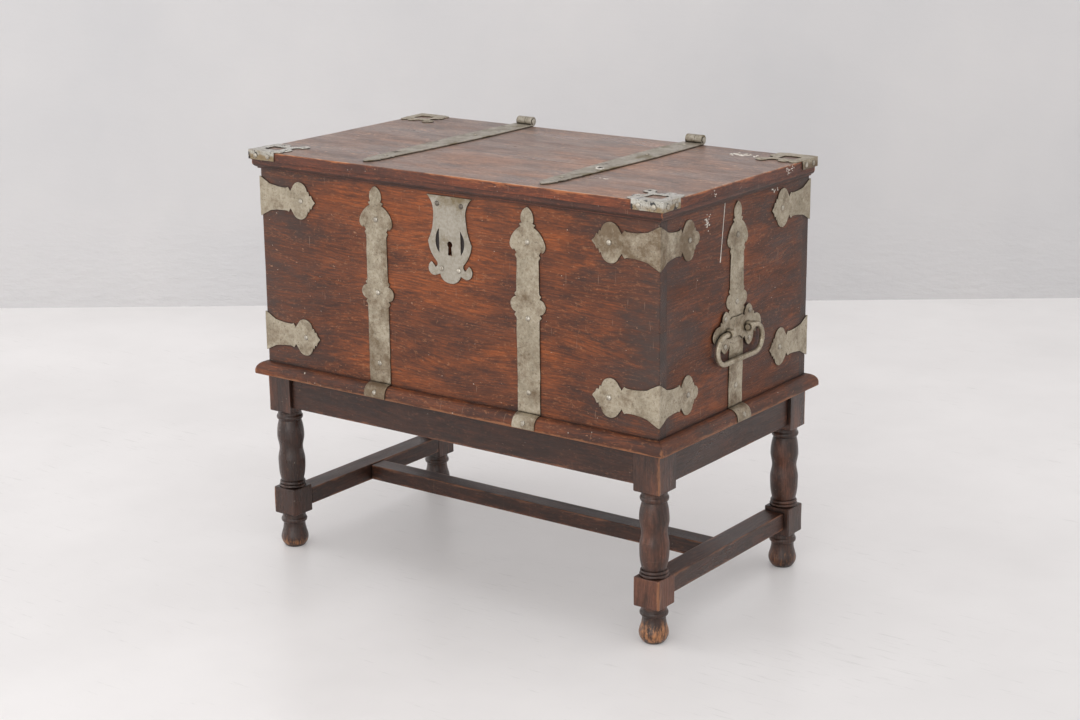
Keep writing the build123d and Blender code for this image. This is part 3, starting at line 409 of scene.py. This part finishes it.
# ---------------------------------------------------------------- worn copies of the solids
WEAR_LINES = (2.5, 6.0)  # millimetres from an edge where extra cuts carry the rubbing
NOISE_SEED = 7  # without one, noise vectors differ from run to run
SAME_PLACE = 0.01 * MM  # vertices closer than this are one
ON_SIDE = 0.1 * MM  # an edge this close to a side of its piece lies on it
CUT_SLACK = 1e-6  # metres
FLAT_BEND = math.radians(1.5)  # faces that bend less than this become one
ROUNDED_BEND = math.radians(38)  # edges that bend more than this are rounded
SHARP_BEND = math.radians(40)  # edges that bend more than this are shaded sharp
RUBBED_TILT = 0.25  # how far off its axis a rim looks where it is fully rubbed
KICK_FADE = 18 * MM  # over this height the wear of a foot comes in


def sliced(bm, cell, close_cuts, end_cuts=(), grain=None):
    """Cuts a mesh into cells along the three axes, with close cuts beside its box's faces."""
    for axis in range(3):
        low = min(v.co[axis] for v in bm.verts)
        high = max(v.co[axis] for v in bm.verts)
        count = int((high - low) / cell)
        places = [low + (high - low) * cut / (count + 1) for cut in range(1, count + 1)]
        for inset in (*close_cuts, *(end_cuts if axis == grain else ())):
            if high - low > 4 * inset * MM:
                places += [low + inset * MM, high - inset * MM]
        square = Vector([1.0 if axis == i else 0.0 for i in range(3)])
        for place in places:
            geometry = bm.verts[:] + bm.edges[:] + bm.faces[:]
            bmesh.ops.bisect_plane(
                bm, geom=geometry, dist=CUT_SLACK, plane_co=square * place, plane_no=square)


def rounded_edges(bm, offset, rows, shape, covers):
    """Rounds the outer edges apart from those on a covered side; returns the new vertices."""
    edges = [
        e for e in bm.edges
        if e.is_manifold and e.is_convex and e.calc_face_angle() > ROUNDED_BEND
        and not any(
            all(abs(v.co[axis] - level) < ON_SIDE for v in e.verts) for axis, level in covers)
    ]
    made = bmesh.ops.bevel(
        bm, geom=edges, offset=offset, segments=rows, profile=shape, affect="EDGES",
        clamp_overlap=False)
    return {v for v in made["verts"] if v.is_valid}


def edge_wear(point, low, high, covers, reach):
    """1 on the nearest edge of a box, fading to 0 at the reach; covered sides have no wear."""
    gaps = []
    for axis in range(3):
        to_sides = [abs(point[axis] - level) for level in (low[axis], high[axis])
                    if (axis, level) not in covers]
        gaps.append(min(to_sides, default=math.inf))
    gaps.sort()
    return max(0.0, 1.0 - math.hypot(gaps[0], gaps[1]) / reach)


def piece_from(node, material, body, grain=None, edge=1.5, rows=4, shape=0.7, cell=30.0,
               waves=((160.0, 0.35), (30.0, 0.12)), sway=(0.0, 40.0), faced=(),
               joined=(), reach=8.0, rub=1.0, side_shade_and_sheen=0.0, end_dirt=0.0, kicked=(0.0, 0.0),
               capped=None, handled=None, browned=None):
    """A worn copy of a CAD node that replaces it. Sizes are millimetres; a grain makes it wood.

    faced lists other materials, each with the test of the faces that take it, and joined the
    sides of its box, such as "+z", that lie against another piece. The shares say how much its
    edges are rubbed and how much painted shade and grey sheen lie all over it for the light on
    the chest's ends; kicked adds the height up to which shoes wear its foot, and end_dirt how far
    dirt reaches in from the ends. capped gives the grain of the strips that cap its ends; handled
    tells how often hands or feet pass over a point, and browned how rusty the iron is there.
    """
    source = NODES[node]
    low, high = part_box(node)
    ends = {"-": low, "+": high}
    covers = {("xyz".index(side[1]), ends[side[0]]["xyz".index(side[1])]) for side in joined}
    bm = bmesh.new()
    bm.from_mesh(source.data)
    bm.transform(source.matrix_world)
    bmesh.ops.remove_doubles(bm, verts=bm.verts, dist=SAME_PLACE)
    bmesh.ops.dissolve_limit(bm, angle_limit=FLAT_BEND, verts=bm.verts, edges=bm.edges)
    rounded = rounded_edges(bm, edge * MM, rows, shape, covers)
    sliced(bm, cell * MM, WEAR_LINES if grain is not None else (),
           [end_dirt * share for share in (0.3, 0.6, 1.0)] if end_dirt else (), grain)
    bm.normal_update()
    draw = random.Random(node)
    noise.seed_set(NOISE_SEED)
    start = Vector([draw.uniform(-9, 9) for _ in range(3)])
    amount, length = sway
    moves = []
    for v in bm.verts:
        lift = sum(noise.noise(v.co / (size * MM) + start) * height for size, height in waves)
        aside = noise.noise_vector(v.co / (length * MM) + start) * amount
        moves.append(v.normal * lift * MM + aside * MM)
    worn_layer = bm.verts.layers.float.new("worn")
    if grain is not None:
        grain_layer = bm.loops.layers.float_vector.new("grain")
        end_layer = bm.verts.layers.float.new("end_grain")
        dirty_ends_and_shaded_sides_layer = bm.verts.layers.float.new("near_end")
        handled_layer = bm.verts.layers.float.new("handled")
        kicked_layer = bm.verts.layers.float.new("kicked")
        order = GRAIN_AXES[grain]
        share, height = kicked
        middle = (low + high) / 2
        log = Vector((draw.uniform(0, 5), draw.uniform(-0.05, 0.05), draw.uniform(0.03, 0.08)))
        for face in bm.faces:
            # a face that looks along the grain belongs to the cap
            laid = capped if capped and abs(face.normal[grain]) > 0.7 else order
            for corner in face.loops:
                corner[grain_layer] = Vector([(corner.vert.co - middle)[i] for i in laid]) + log
        for v in bm.verts:
            v[worn_layer] = rub * edge_wear(v.co, low, high, covers, reach * MM)
            v[end_layer] = 0.0 if capped else abs(v.normal[grain]) ** 4
            # dirt near the ends, and over the whole piece the painted shade and grey sheen of its
            # share
            gap = min(v.co[grain] - low[grain], high[grain] - v.co[grain])
            v[dirty_ends_and_shaded_sides_layer] = max(side_shade_and_sheen, 1.0 - gap / (end_dirt * MM)) if end_dirt else side_shade_and_sheen
            v[handled_layer] = handled(v.co) if handled else 0.0
            v[kicked_layer] = share * min(1.0, max(0.0, (height - v.co.z) / KICK_FADE))
    else:
        for v in rounded:
            if v.is_valid:
                v[worn_layer] = min(1.0, (1.0 - max(abs(c) for c in v.normal)) / RUBBED_TILT)
        if browned:
            brown_layer = bm.verts.layers.float.new("browned")
            for v in bm.verts:
                v[brown_layer] = browned(v.co)
    for v, move in zip(bm.verts, moves):
        v.co = [min(max(c, bottom), top) for c, bottom, top in zip(v.co + move, low, high)]
    mesh = bpy.data.meshes.new(node)
    bm.to_mesh(mesh)
    bm.free()
    mesh.polygons.foreach_set("use_smooth", [True] * len(mesh.polygons))
    mesh.set_sharp_from_angle(angle=SHARP_BEND)
    made = bpy.data.objects.new(f"{node}_worn", mesh)
    bpy.context.scene.collection.objects.link(made)
    mesh.materials.append(finish_named(material))
    for place, (other, takes_it) in enumerate(faced, 1):
        mesh.materials.append(finish_named(other))
        for face in mesh.polygons:
            if takes_it(face):
                face.material_index = place
    weighted = made.modifiers.new("Flat faces stay flat", "WEIGHTED_NORMAL")
    weighted.keep_sharp = True
    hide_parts(node)
    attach(made, body)
    return made


# ---------------------------------------------------------------- paint and dirt
OVAL_CORNERS = 16
SPLASH_CORNERS = 9
RUN_STEPS = 26


def close_rings(bm, rings):
    """Closes rings of vertices into one thin solid with the first and last ring as its ends."""
    count = len(rings[0])
    bm.faces.new(rings[0])
    bm.faces.new(list(reversed(rings[-1])))
    for upper, lower in zip(rings, rings[1:]):
        for i, j in zip(range(count), (*range(1, count), 0)):
            bm.faces.new((lower[i], lower[j], upper[j], upper[i]))


def lying_piece(name, bm, material, body):
    """Finishes a mesh as paint or dirt that lies on a body."""
    bmesh.ops.recalc_face_normals(bm, faces=bm.faces)
    mesh = bpy.data.meshes.new(name)
    bm.to_mesh(mesh)
    bm.free()
    mesh.materials.append(material)
    made = bpy.data.objects.new(name, mesh)
    bpy.context.scene.collection.objects.link(made)
    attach(made, body)


# ---------------------------------------------------------------- settings
class ChestFinish(bpy.types.PropertyGroup):
    """Sizes of the wear that a user would change."""

    wood_edge: FloatProperty(
        name="Wood edge", description="How far the boards' edges are rubbed back",
        default=4.0 * MM, min=0.5 * MM, max=8.0 * MM, subtype="DISTANCE", unit="LENGTH")
    iron_edge: FloatProperty(
        name="Iron edge", description="Rounding of the irons' rims",
        default=0.7 * MM, min=0.1 * MM, max=1.0 * MM, subtype="DISTANCE", unit="LENGTH")
    iron_sway: FloatProperty(
        name="Iron outline", description="How far the cut outlines wander",
        default=0.7 * MM, min=0.0, max=2.0 * MM, subtype="DISTANCE", unit="LENGTH")


class StudioSettings(bpy.types.PropertyGroup):
    """Camera and studio."""

    lens: FloatProperty(
        name="Lens", description="Focal length of the camera", default=70.30, unit="CAMERA")
    azimuth: FloatProperty(
        name="Azimuth", description="Turn of the camera from the chest's front",
        default=math.radians(36.276), subtype="ANGLE", unit="ROTATION")
    elevation: FloatProperty(
        name="Elevation", description="Height of the camera over the horizon",
        default=math.radians(15.556), subtype="ANGLE", unit="ROTATION")
    roll: FloatProperty(
        name="Roll", description="Roll of the camera", default=math.radians(-0.545),
        subtype="ANGLE", unit="ROTATION")
    stand_point: FloatVectorProperty(
        name="Camera place", description="Where the camera stands", subtype="TRANSLATION",
        unit="LENGTH", default=(2.2958, -3.1047, 1.4673))


# ---------------------------------------------------------------- operators
class StandOperator(bpy.types.Operator):
    """Makes the turned legs, aprons and stretchers of the stand"""

    bl_idname = "chest.stand"
    bl_label = "Stand"

    def execute(self, context):
        wood, turned = "Dark stand oak", "Turned leg oak"
        low_block_foot, low_block_head, top_block_foot = 66 * MM, 125 * MM, 278 * MM

        def near_feet(point):
            """Feet rub the low blocks in front, most on the right, and hands the upper blocks."""
            if low_block_foot < point.z < low_block_head and point.y < 0:
                return 1.0 if point.x > 0 else 0.35
            return 0.4 if point.z > top_block_foot else 0.15

        # how much of the finish shoes took off each ball foot, and up to how many millimetres
        for corner, share, height in zip(CORNERS, (0.9, 1.0, 0.3, 0.6), (30, 52, 40, 46)):
            rails = ("+y" if "front" in corner else "-y", "+x" if "left" in corner else "-x")
            piece_from(f"leg_{corner}", turned, CASE, ALONG_Z, edge=1.2, cell=14.0,
                       waves=((45.0, 0.6), (12.0, 0.15)), joined=("+z", *rails), rub=0.8,
                       kicked=(share, height * MM), handled=near_feet)
        for side in ("front", "back"):
            piece_from(f"apron_{side}", wood, CASE, ALONG_X, edge=1.4, joined=("+z", "-x", "+x"),
                       rub=0.6)
        for side in SIDES:
            piece_from(f"apron_{side}", wood, CASE, ALONG_Y, edge=1.4, joined=("+z", "-y", "+y"),
                       rub=0.6)
            piece_from(f"stretcher_{side}", wood, CASE, ALONG_Y, edge=2.2, joined=("-y", "+y"),
                       rub=0.75)
        piece_from("stretcher_middle", wood, CASE, ALONG_X, edge=2.2, joined=("-x", "+x"),
                   rub=0.7)
        return {"FINISHED"}


class BoardsOperator(bpy.types.Operator):
    """Makes the chest's boards and the moulding round its foot"""

    bl_idname = "chest.boards"
    bl_label = "Chest boards"

    def execute(self, context):
        wood, bare = "Stained waxed oak", "Bare inside oak"
        edge = context.scene.chest_finish.wood_edge / MM
        low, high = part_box("bottom_board")
        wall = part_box("front_board_upper")[1].z - low.z

        def inside(face):
            """True for a face that looks into the chest."""
            x, y, z = face.center
            return (low.z - MM < z and low.x - MM < x < high.x + MM
                    and low.y - MM < y < high.y + MM)

        def long_middle(point):
            """Hands reach the upper middle of the long boards most."""
            return (1.0 - abs(point.x) / high.x) * (0.4 + (point.z - low.z) / wall)

        def end_middle(point):
            """The handles bring some hands to the ends."""
            return 0.5 - 0.5 * abs(point.y) / high.y

        board = dict(edge=edge, faced=[(bare, inside)], rub=0.35)
        for name, inward in (("front_board", "+y"), ("back_board", "-y")):
            piece_from(f"{name}_lower", wood, CASE, ALONG_X, joined=(inward, "-z", "+z"),
                       end_dirt=200.0, handled=long_middle, **board)
            piece_from(f"{name}_upper", wood, CASE, ALONG_X, joined=(inward, "-z"),
                       end_dirt=200.0, handled=long_middle, **board)
        # the end boards and the mouldings under them are greyed all over: painted shade and grey
        # sheen
        for side, inward in zip(SIDES, ("+x", "-x")):
            piece_from(f"end_board_{side}", wood, CASE, ALONG_Y, joined=("-y", "+y", "-z"),
                       side_shade_and_sheen=0.6, end_dirt=70.0, handled=end_middle, **board)
            piece_from(f"plinth_moulding_{side}", wood, CASE, ALONG_Y, 2.0, cell=20.0,
                       joined=(inward,), side_shade_and_sheen=0.6)
        for side, inward in (("front", "+y"), ("back", "-y")):
            piece_from(f"plinth_moulding_{side}", wood, CASE, ALONG_X, 2.0, cell=20.0,
                       joined=(inward,))
        piece_from("bottom_board", bare, CASE, ALONG_X, 1.0)
        return {"FINISHED"}


class LidOperator(bpy.types.Operator):
    """Makes the lid's boards and the moulding under its edge"""

    bl_idname = "chest.lid"
    bl_label = "Lid"

    def execute(self, context):
        top, rim, bare = "Polished lid oak", "Rubbed edge oak", "Bare inside oak"
        # the moulding's faces that look down take a darker oak: painted shade
        dull = "Shaded moulding oak"
        edge = context.scene.chest_finish.wood_edge / MM
        low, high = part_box("bottom_board")
        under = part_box("lid_board_front")[0].z + MM
        thin = dict(cell=20.0, waves=((60.0, 0.25),), reach=4.0)
        grip = 0.2  # where hands lift the lid, right of its middle

        def inside(face):
            """True for a face of the lid's underside that the chest hides when it is shut."""
            x, y, z = face.center
            return z < under and low.x < x < high.x and low.y < y < high.y

        def upright(face):
            """True for a face of the lid's rim, which keeps less polish than the top."""
            return face.normal.z < 0.6

        def looks_down(face):
            """True for a face under the moulding's round, which looks down and takes the painted
            shade.
            """
            return face.normal.z < -0.3

        def near_lock(point):
            """Hands lift the lid in front, and more to the right of the lock."""
            return max(0.0, 0.5 - abs(point.x - grip)) - 0.5 * point.y

        for side, inward in (("front", "+y"), ("back", "-y")):
            piece_from(f"lid_board_{side}", top, LID, ALONG_X, edge,
                       faced=[(rim, upright), (bare, inside)],
                       waves=((220.0, 0.9), (40.0, 0.2)), joined=(inward, "-z"), reach=6.0,
                       rub=0.8, handled=near_lock, capped=GRAIN_AXES[ALONG_Y])
        piece_from("lid_moulding_front", rim, LID, ALONG_X, 1.2, joined=("+y", "+z"),
                   faced=[(dull, looks_down)], **thin)
        # the side mouldings are greyed all over: painted shade and grey sheen
        for side, inward in zip(SIDES, ("+x", "-x")):
            piece_from(f"lid_moulding_{side}", rim, LID, ALONG_Y, 1.2, joined=(inward, "+z"),
                       faced=[(dull, looks_down)], side_shade_and_sheen=0.5, **thin)
        return {"FINISHED"}


class IronsOperator(bpy.types.Operator):
    """Makes the nailed straps, corner mounts, plates, hinges and nails"""

    bl_idname = "chest.irons"
    bl_label = "Irons"

    def execute(self, context):
        finish = context.scene.chest_finish
        iron, nails = "Tinned sheet iron", "Rubbed nail iron"
        sheet = dict(edge=finish.iron_edge / MM, rows=2, shape=0.5, cell=9.0,
                     waves=((45.0, 0.35), (12.0, 0.16)), sway=(finish.iron_sway / MM, 22.0))
        close = dict(sheet, sway=(0.0, 22.0), waves=((45.0, 0.04), (12.0, 0.03)))
        whole = dict(edge=0.9, rows=3, cell=600.0)
        lid_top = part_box("lid_board_front")[1].z
        bare_rim = 8 * MM  # below the lid's top
        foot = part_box("front_strap_left")[0].z
        damp = 160 * MM  # height above the straps' feet
        low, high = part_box("lock_plate")

        def lid_rust(point):
            """The old tinning is gone from the lower half of the lid plates' rims."""
            return 0.2 if point.z < lid_top - bare_rim else 0.0

        for kind in ("front_strap", "end_strap", "handle_plate"):
            for side in SIDES:
                rusty = 0.08 if kind == "front_strap" and side == "left" else 0.03

                def strap_rust(point):
                    """Damp from below browns the straps' feet."""
                    return rusty + 0.07 * max(0.0, 1.0 - (point.z - foot) / damp)

                piece_from(f"{kind}_{side}", iron, CASE, browned=strap_rust, **sheet)
        for corner in CORNERS:
            for level in ("lower", "upper"):
                rusty = 0.14 if corner == "front_right" and level == "upper" else 0.02
                piece_from(f"corner_mount_{corner}_{level}", iron, CASE,
                           browned=lambda point: rusty, **sheet)
            coat = "Blued corner iron" if corner.startswith("front") else iron
            piece_from(f"lid_corner_plate_{corner}", coat, LID, browned=lid_rust, **sheet)

        def lock_rust(point):
            """Damp from the lid browned the upper 40 mm of the lock, most at its edge."""
            return max(0.0, 0.16 - (high.z - point.z) * 4)

        piece_from("lock_plate", "Polished lock iron", CASE, browned=lock_rust, **sheet)
        for side in SIDES:
            piece_from(f"hinge_leaf_{side}", "Varnished hinge iron", CASE, **close)
            piece_from(f"hinge_strap_{side}", "Varnished hinge iron", LID, **close)
            piece_from(f"handle_eyes_{side}", iron, CASE, **dict(close, cell=5.0))

        def nail_rust(point):
            """The lock's upper nails are dark; the others differ from strap to strap."""
            on_lock = low.x < point.x < high.x and (low.z + high.z) / 2 < point.z < high.z
            return 0.5 if on_lock and point.y < 0 else 0.12 * noise.noise(point / (60 * MM))

        piece_from("chest_nails", nails, CASE, waves=((6.0, 0.2),), browned=nail_rust, **whole)
        piece_from("lid_nails", nails, LID, waves=((6.0, 0.2),), **whole)
        piece_from("hinge_pins", nails, CASE, waves=(), **whole)
        return {"FINISHED"}


class HandlesOperator(bpy.types.Operator):
    """Makes the two drop handles"""

    bl_idname = "chest.handles"
    bl_label = "Drop handles"

    def execute(self, context):
        for side in SIDES:
            piece_from(f"bail_{side}", "Tinned sheet iron", f"bail_{side}", edge=0.3, rows=2,
                       cell=8.0, waves=())
        return {"FINISHED"}


class LockOperator(bpy.types.Operator):
    """Makes the lock's case, bolt and staple"""

    bl_idname = "chest.lock"
    bl_label = "Lock"

    def execute(self, context):
        iron = "Dark forged iron"
        small = dict(edge=0.4, rows=2, shape=0.5, cell=12.0)
        piece_from("lock_case", iron, CASE, waves=((20.0, 0.08),), **small)
        piece_from("lock_bolt", iron, BOLT, waves=((20.0, 0.02),), **small)
        piece_from("lock_staple", iron, LID, waves=((20.0, 0.02),), **small)
        return {"FINISHED"}


class LockWindowsOperator(bpy.types.Operator):
    """Makes the black ovals that fill the lock plate's two windows"""

    bl_idname = "chest.lock_dirt"
    bl_label = "Black in the lock's windows"

    def execute(self, context):
        # each window shows black: a thin black oval lies on the board inside it
        window_black = mottled_paint("Black window filling", "120d0b", "2a1c16", 5, 0.6, 0.6)[0]
        low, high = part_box("lock_plate")
        middle, half, tall = (low.x + high.x) / 2, (high.x - low.x) / 2, high.z - low.z
        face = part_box("front_board_upper")[0].y
        for side, way in zip(SIDES, (-1, 1)):
            bm = bmesh.new()
            rings = []
            # an oval over each window, with its centre and half sizes as shares of the plate
            for out in (0.3 * MM, -0.3 * MM):
                ring = []
                for turn in range(OVAL_CORNERS):
                    angle = turn * math.tau / OVAL_CORNERS
                    across = half * (0.55 + 0.12 * math.cos(angle))
                    down = tall * (0.52 + 0.145 * math.sin(angle))
                    ring.append(bm.verts.new((middle + way * across, face - out, high.z - down)))
                rings.append(ring)
            close_rings(bm, rings)
            lying_piece(f"lock_window_black_{side}", bm, window_black, CASE)
        return {"FINISHED"}


class SplashesOperator(bpy.types.Operator):
    """Makes the old splashes and the run of pale paint on the lid and the right end"""

    bl_idname = "chest.splashes"
    bl_label = "Paint splashes"

    def execute(self, context):
        paint = splash_paint()
        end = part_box("end_board_right")[1].x
        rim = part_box("lid_board_front")[1]
        strap = rim.z + 3 * MM
        across, up, along = Vector((0, 1, 0)), Vector((0, 0, 1)), Vector((1, 0, 0))
        # name, body, middle, the two ways across its face, spread both ways in millimetres,
        # how many splashes, and the widest in millimetres
        clusters = (
            ("splashes_end_front", CASE, (end, -0.103, 0.728), across, up, 8, 15, 22, 4.0),
            ("splashes_end_back", CASE, (end, 0.122, 0.747), across, up, 14, 4, 9, 3.4),
            ("splashes_lid_rim", LID, (rim.x, 0.150, 0.781), across, up, 12, 7, 30, 3.0),
            ("splashes_lid_front_rim", LID, (rim.x, -0.101, 0.782), across, up, 3, 6, 5, 3.6),
            ("splashes_lid_back", LID, (0.335, 0.197, rim.z), along, across, 34, 16, 40, 6.0),
            ("splashes_lid_middle", LID, (0.249, -0.135, rim.z), along, across, 16, 3, 6, 4.0),
            ("splashes_strap", LID, (0.202, -0.071, strap), along, across, 8, 10, 12, 13.0),
        )
        for name, body, middle, sideways, upwards, wide, high, count, size in clusters:
            draw = random.Random(name)
            out = sideways.cross(upwards)
            bm = bmesh.new()
            for _ in range(count):
                place = (Vector(middle) + sideways * draw.gauss(0, wide * MM / 2)
                         + upwards * draw.gauss(0, high * MM / 2))
                reach = size * MM * draw.uniform(0.35, 1.0) / 2
                ring = []
                for turn in range(SPLASH_CORNERS):
                    angle = turn * math.tau / SPLASH_CORNERS
                    far = reach * draw.uniform(0.6, 1.25)
                    ring.append(place + (sideways * math.cos(angle) * 1.3
                                         + upwards * math.sin(angle)) * far)
                lower = [bm.verts.new(point - out * 0.3 * MM) for point in ring]
                upper = [bm.verts.new(place + (point - place) * 0.7 + out * 0.35 * MM)
                         for point in ring]
                close_rings(bm, [upper, lower])
            lying_piece(name, bm, paint, body)
        # one long run of paint down the end, from under the lid, with a drop at its foot
        bm = bmesh.new()
        draw = random.Random("run")
        rows = []
        head_y, drift, head_z, fall = -46, 13, 753, 102  # millimetres
        for step in range(RUN_STEPS + 1):
            share = step / RUN_STEPS
            middle = Vector((end, (head_y - drift * share + draw.uniform(-0.3, 0.3)) * MM,
                             (head_z - fall * share) * MM))
            half = (0.75 + 0.9 * max(0.0, share - 0.9) * 10) * MM
            rows.append([bm.verts.new(middle + across * y * half + along * x * MM)
                         for y, x in ((-1, -0.3), (-0.6, 0.5), (0.6, 0.5), (1, -0.3))])
        close_rings(bm, rows)
        lying_piece("splash_run_end", bm, paint, CASE)
        return {"FINISHED"}


class StageOperator(bpy.types.Operator):
    """Makes the pale floor and wall, the lamps and the camera"""

    bl_idname = "chest.stage"
    bl_label = "Studio"

    def execute(self, context):
        studio = context.scene.chest_studio
        # the wall stands square to the view, 2 m behind the chest's middle
        back, width, height = 2.02, 9.0, 7.0
        away = Vector((-math.sin(studio.azimuth), math.cos(studio.azimuth), 0.0))
        aside = Vector((math.cos(studio.azimuth), math.sin(studio.azimuth), 0.0))
        high = Vector((0.0, 0.0, height))
        for name, paint, near, far in (
                ("studio_floor", floor_paint(), away * -width, away * back),
                ("studio_wall", wall_paint(), away * back, away * back + high)):
            sheet = bpy.data.meshes.new(name)
            ring = [near - aside * width, near + aside * width, far + aside * width,
                    far - aside * width]
            sheet.from_pydata(ring, [], [(0, 1, 2, 3)])
            sheet.materials.append(paint)
            made = bpy.data.objects.new(name, sheet)
            context.scene.collection.objects.link(made)

        world = bpy.data.worlds.new("Studio light")
        context.scene.world = world
        world.use_nodes = True
        world.node_tree.nodes.clear()
        glow = add_node(world.node_tree, "ShaderNodeBackground", {
            "Color": linear("f6f5f5"), "Strength": 1.02})
        add_node(world.node_tree, "ShaderNodeOutputWorld", {"Surface": glow.outputs[0]})

        # name, place, size in metres and watts of each lamp
        middle = Vector((0.0, 0.0, 0.35))
        lamps = (
            ("Front softbox", (1.2, -4.3, 1.7), 3.0, 50.0),
            ("Left softbox", (-4.3, -1.2, 1.2), 2.2, 34.0),
            ("Right softbox", (2.2, 3.2, 2.3), 1.8, 5.0),
            ("Overhead softbox", (-0.3, -0.8, 3.6), 3.0, 18.0),
        )
        for name, where, size, power in lamps:
            data = bpy.data.lights.new(name, "AREA")
            data.size = size
            data.energy = power
            lamp = bpy.data.objects.new(name, data)
            lamp.location = where
            lamp.rotation_euler = (middle - Vector(where)).to_track_quat("-Z", "Y").to_euler()
            context.scene.collection.objects.link(lamp)

        turn, rise = studio.azimuth, studio.elevation
        behind = Vector((math.sin(turn) * math.cos(rise), -math.cos(turn) * math.cos(rise),
                         math.sin(rise)))
        right = (-behind).cross(Vector((0, 0, 1))).normalized()
        above = right.cross(-behind)
        roll = studio.roll
        rolled_right = right * math.cos(roll) + above * math.sin(roll)
        rolled_up = above * math.cos(roll) - right * math.sin(roll)
        data = bpy.data.cameras.new("Camera")
        data.sensor_width = 36.0
        data.lens = studio.lens
        camera = bpy.data.objects.new("Camera", data)
        camera.matrix_world = Matrix.Translation(studio.stand_point) @ Matrix(
            (rolled_right, rolled_up, behind)).transposed().to_4x4()
        context.scene.collection.objects.link(camera)
        context.scene.camera = camera
        context.scene.view_settings.view_transform = "Standard"
        return {"FINISHED"}


class ChestPanel(bpy.types.Panel):
    """Lists the steps that dress the chest"""

    bl_idname = "VIEW3D_PT_chest_on_stand"
    bl_label = "Chest on Stand"
    bl_space_type = "VIEW_3D"
    bl_region_type = "UI"
    bl_category = "Chest on Stand"

    def draw(self, context):
        column = self.layout.column()
        for group in (context.scene.chest_finish, context.scene.chest_studio):
            for name in group.__annotations__:
                column.prop(group, name)
        for step in STEPS:
            column.operator(step.bl_idname)


STEPS = (StandOperator, BoardsOperator, LidOperator, IronsOperator, HandlesOperator, LockOperator,
         LockWindowsOperator, SplashesOperator, StageOperator)
CLASSES = (ChestFinish, StudioSettings, *STEPS, ChestPanel)


def register():
    for kind in CLASSES:
        bpy.utils.register_class(kind)
    bpy.types.Scene.chest_finish = PointerProperty(type=ChestFinish)
    bpy.types.Scene.chest_studio = PointerProperty(type=StudioSettings)


def unregister():
    del bpy.types.Scene.chest_studio
    del bpy.types.Scene.chest_finish
    for kind in reversed(CLASSES):
        bpy.utils.unregister_class(kind)


def main():
    """Registers the add-on and makes every piece."""
    register()
    for step in STEPS:
        group, name = step.bl_idname.split(".")
        getattr(getattr(bpy.ops, group), name)()


if __name__ == "__main__":
    main()
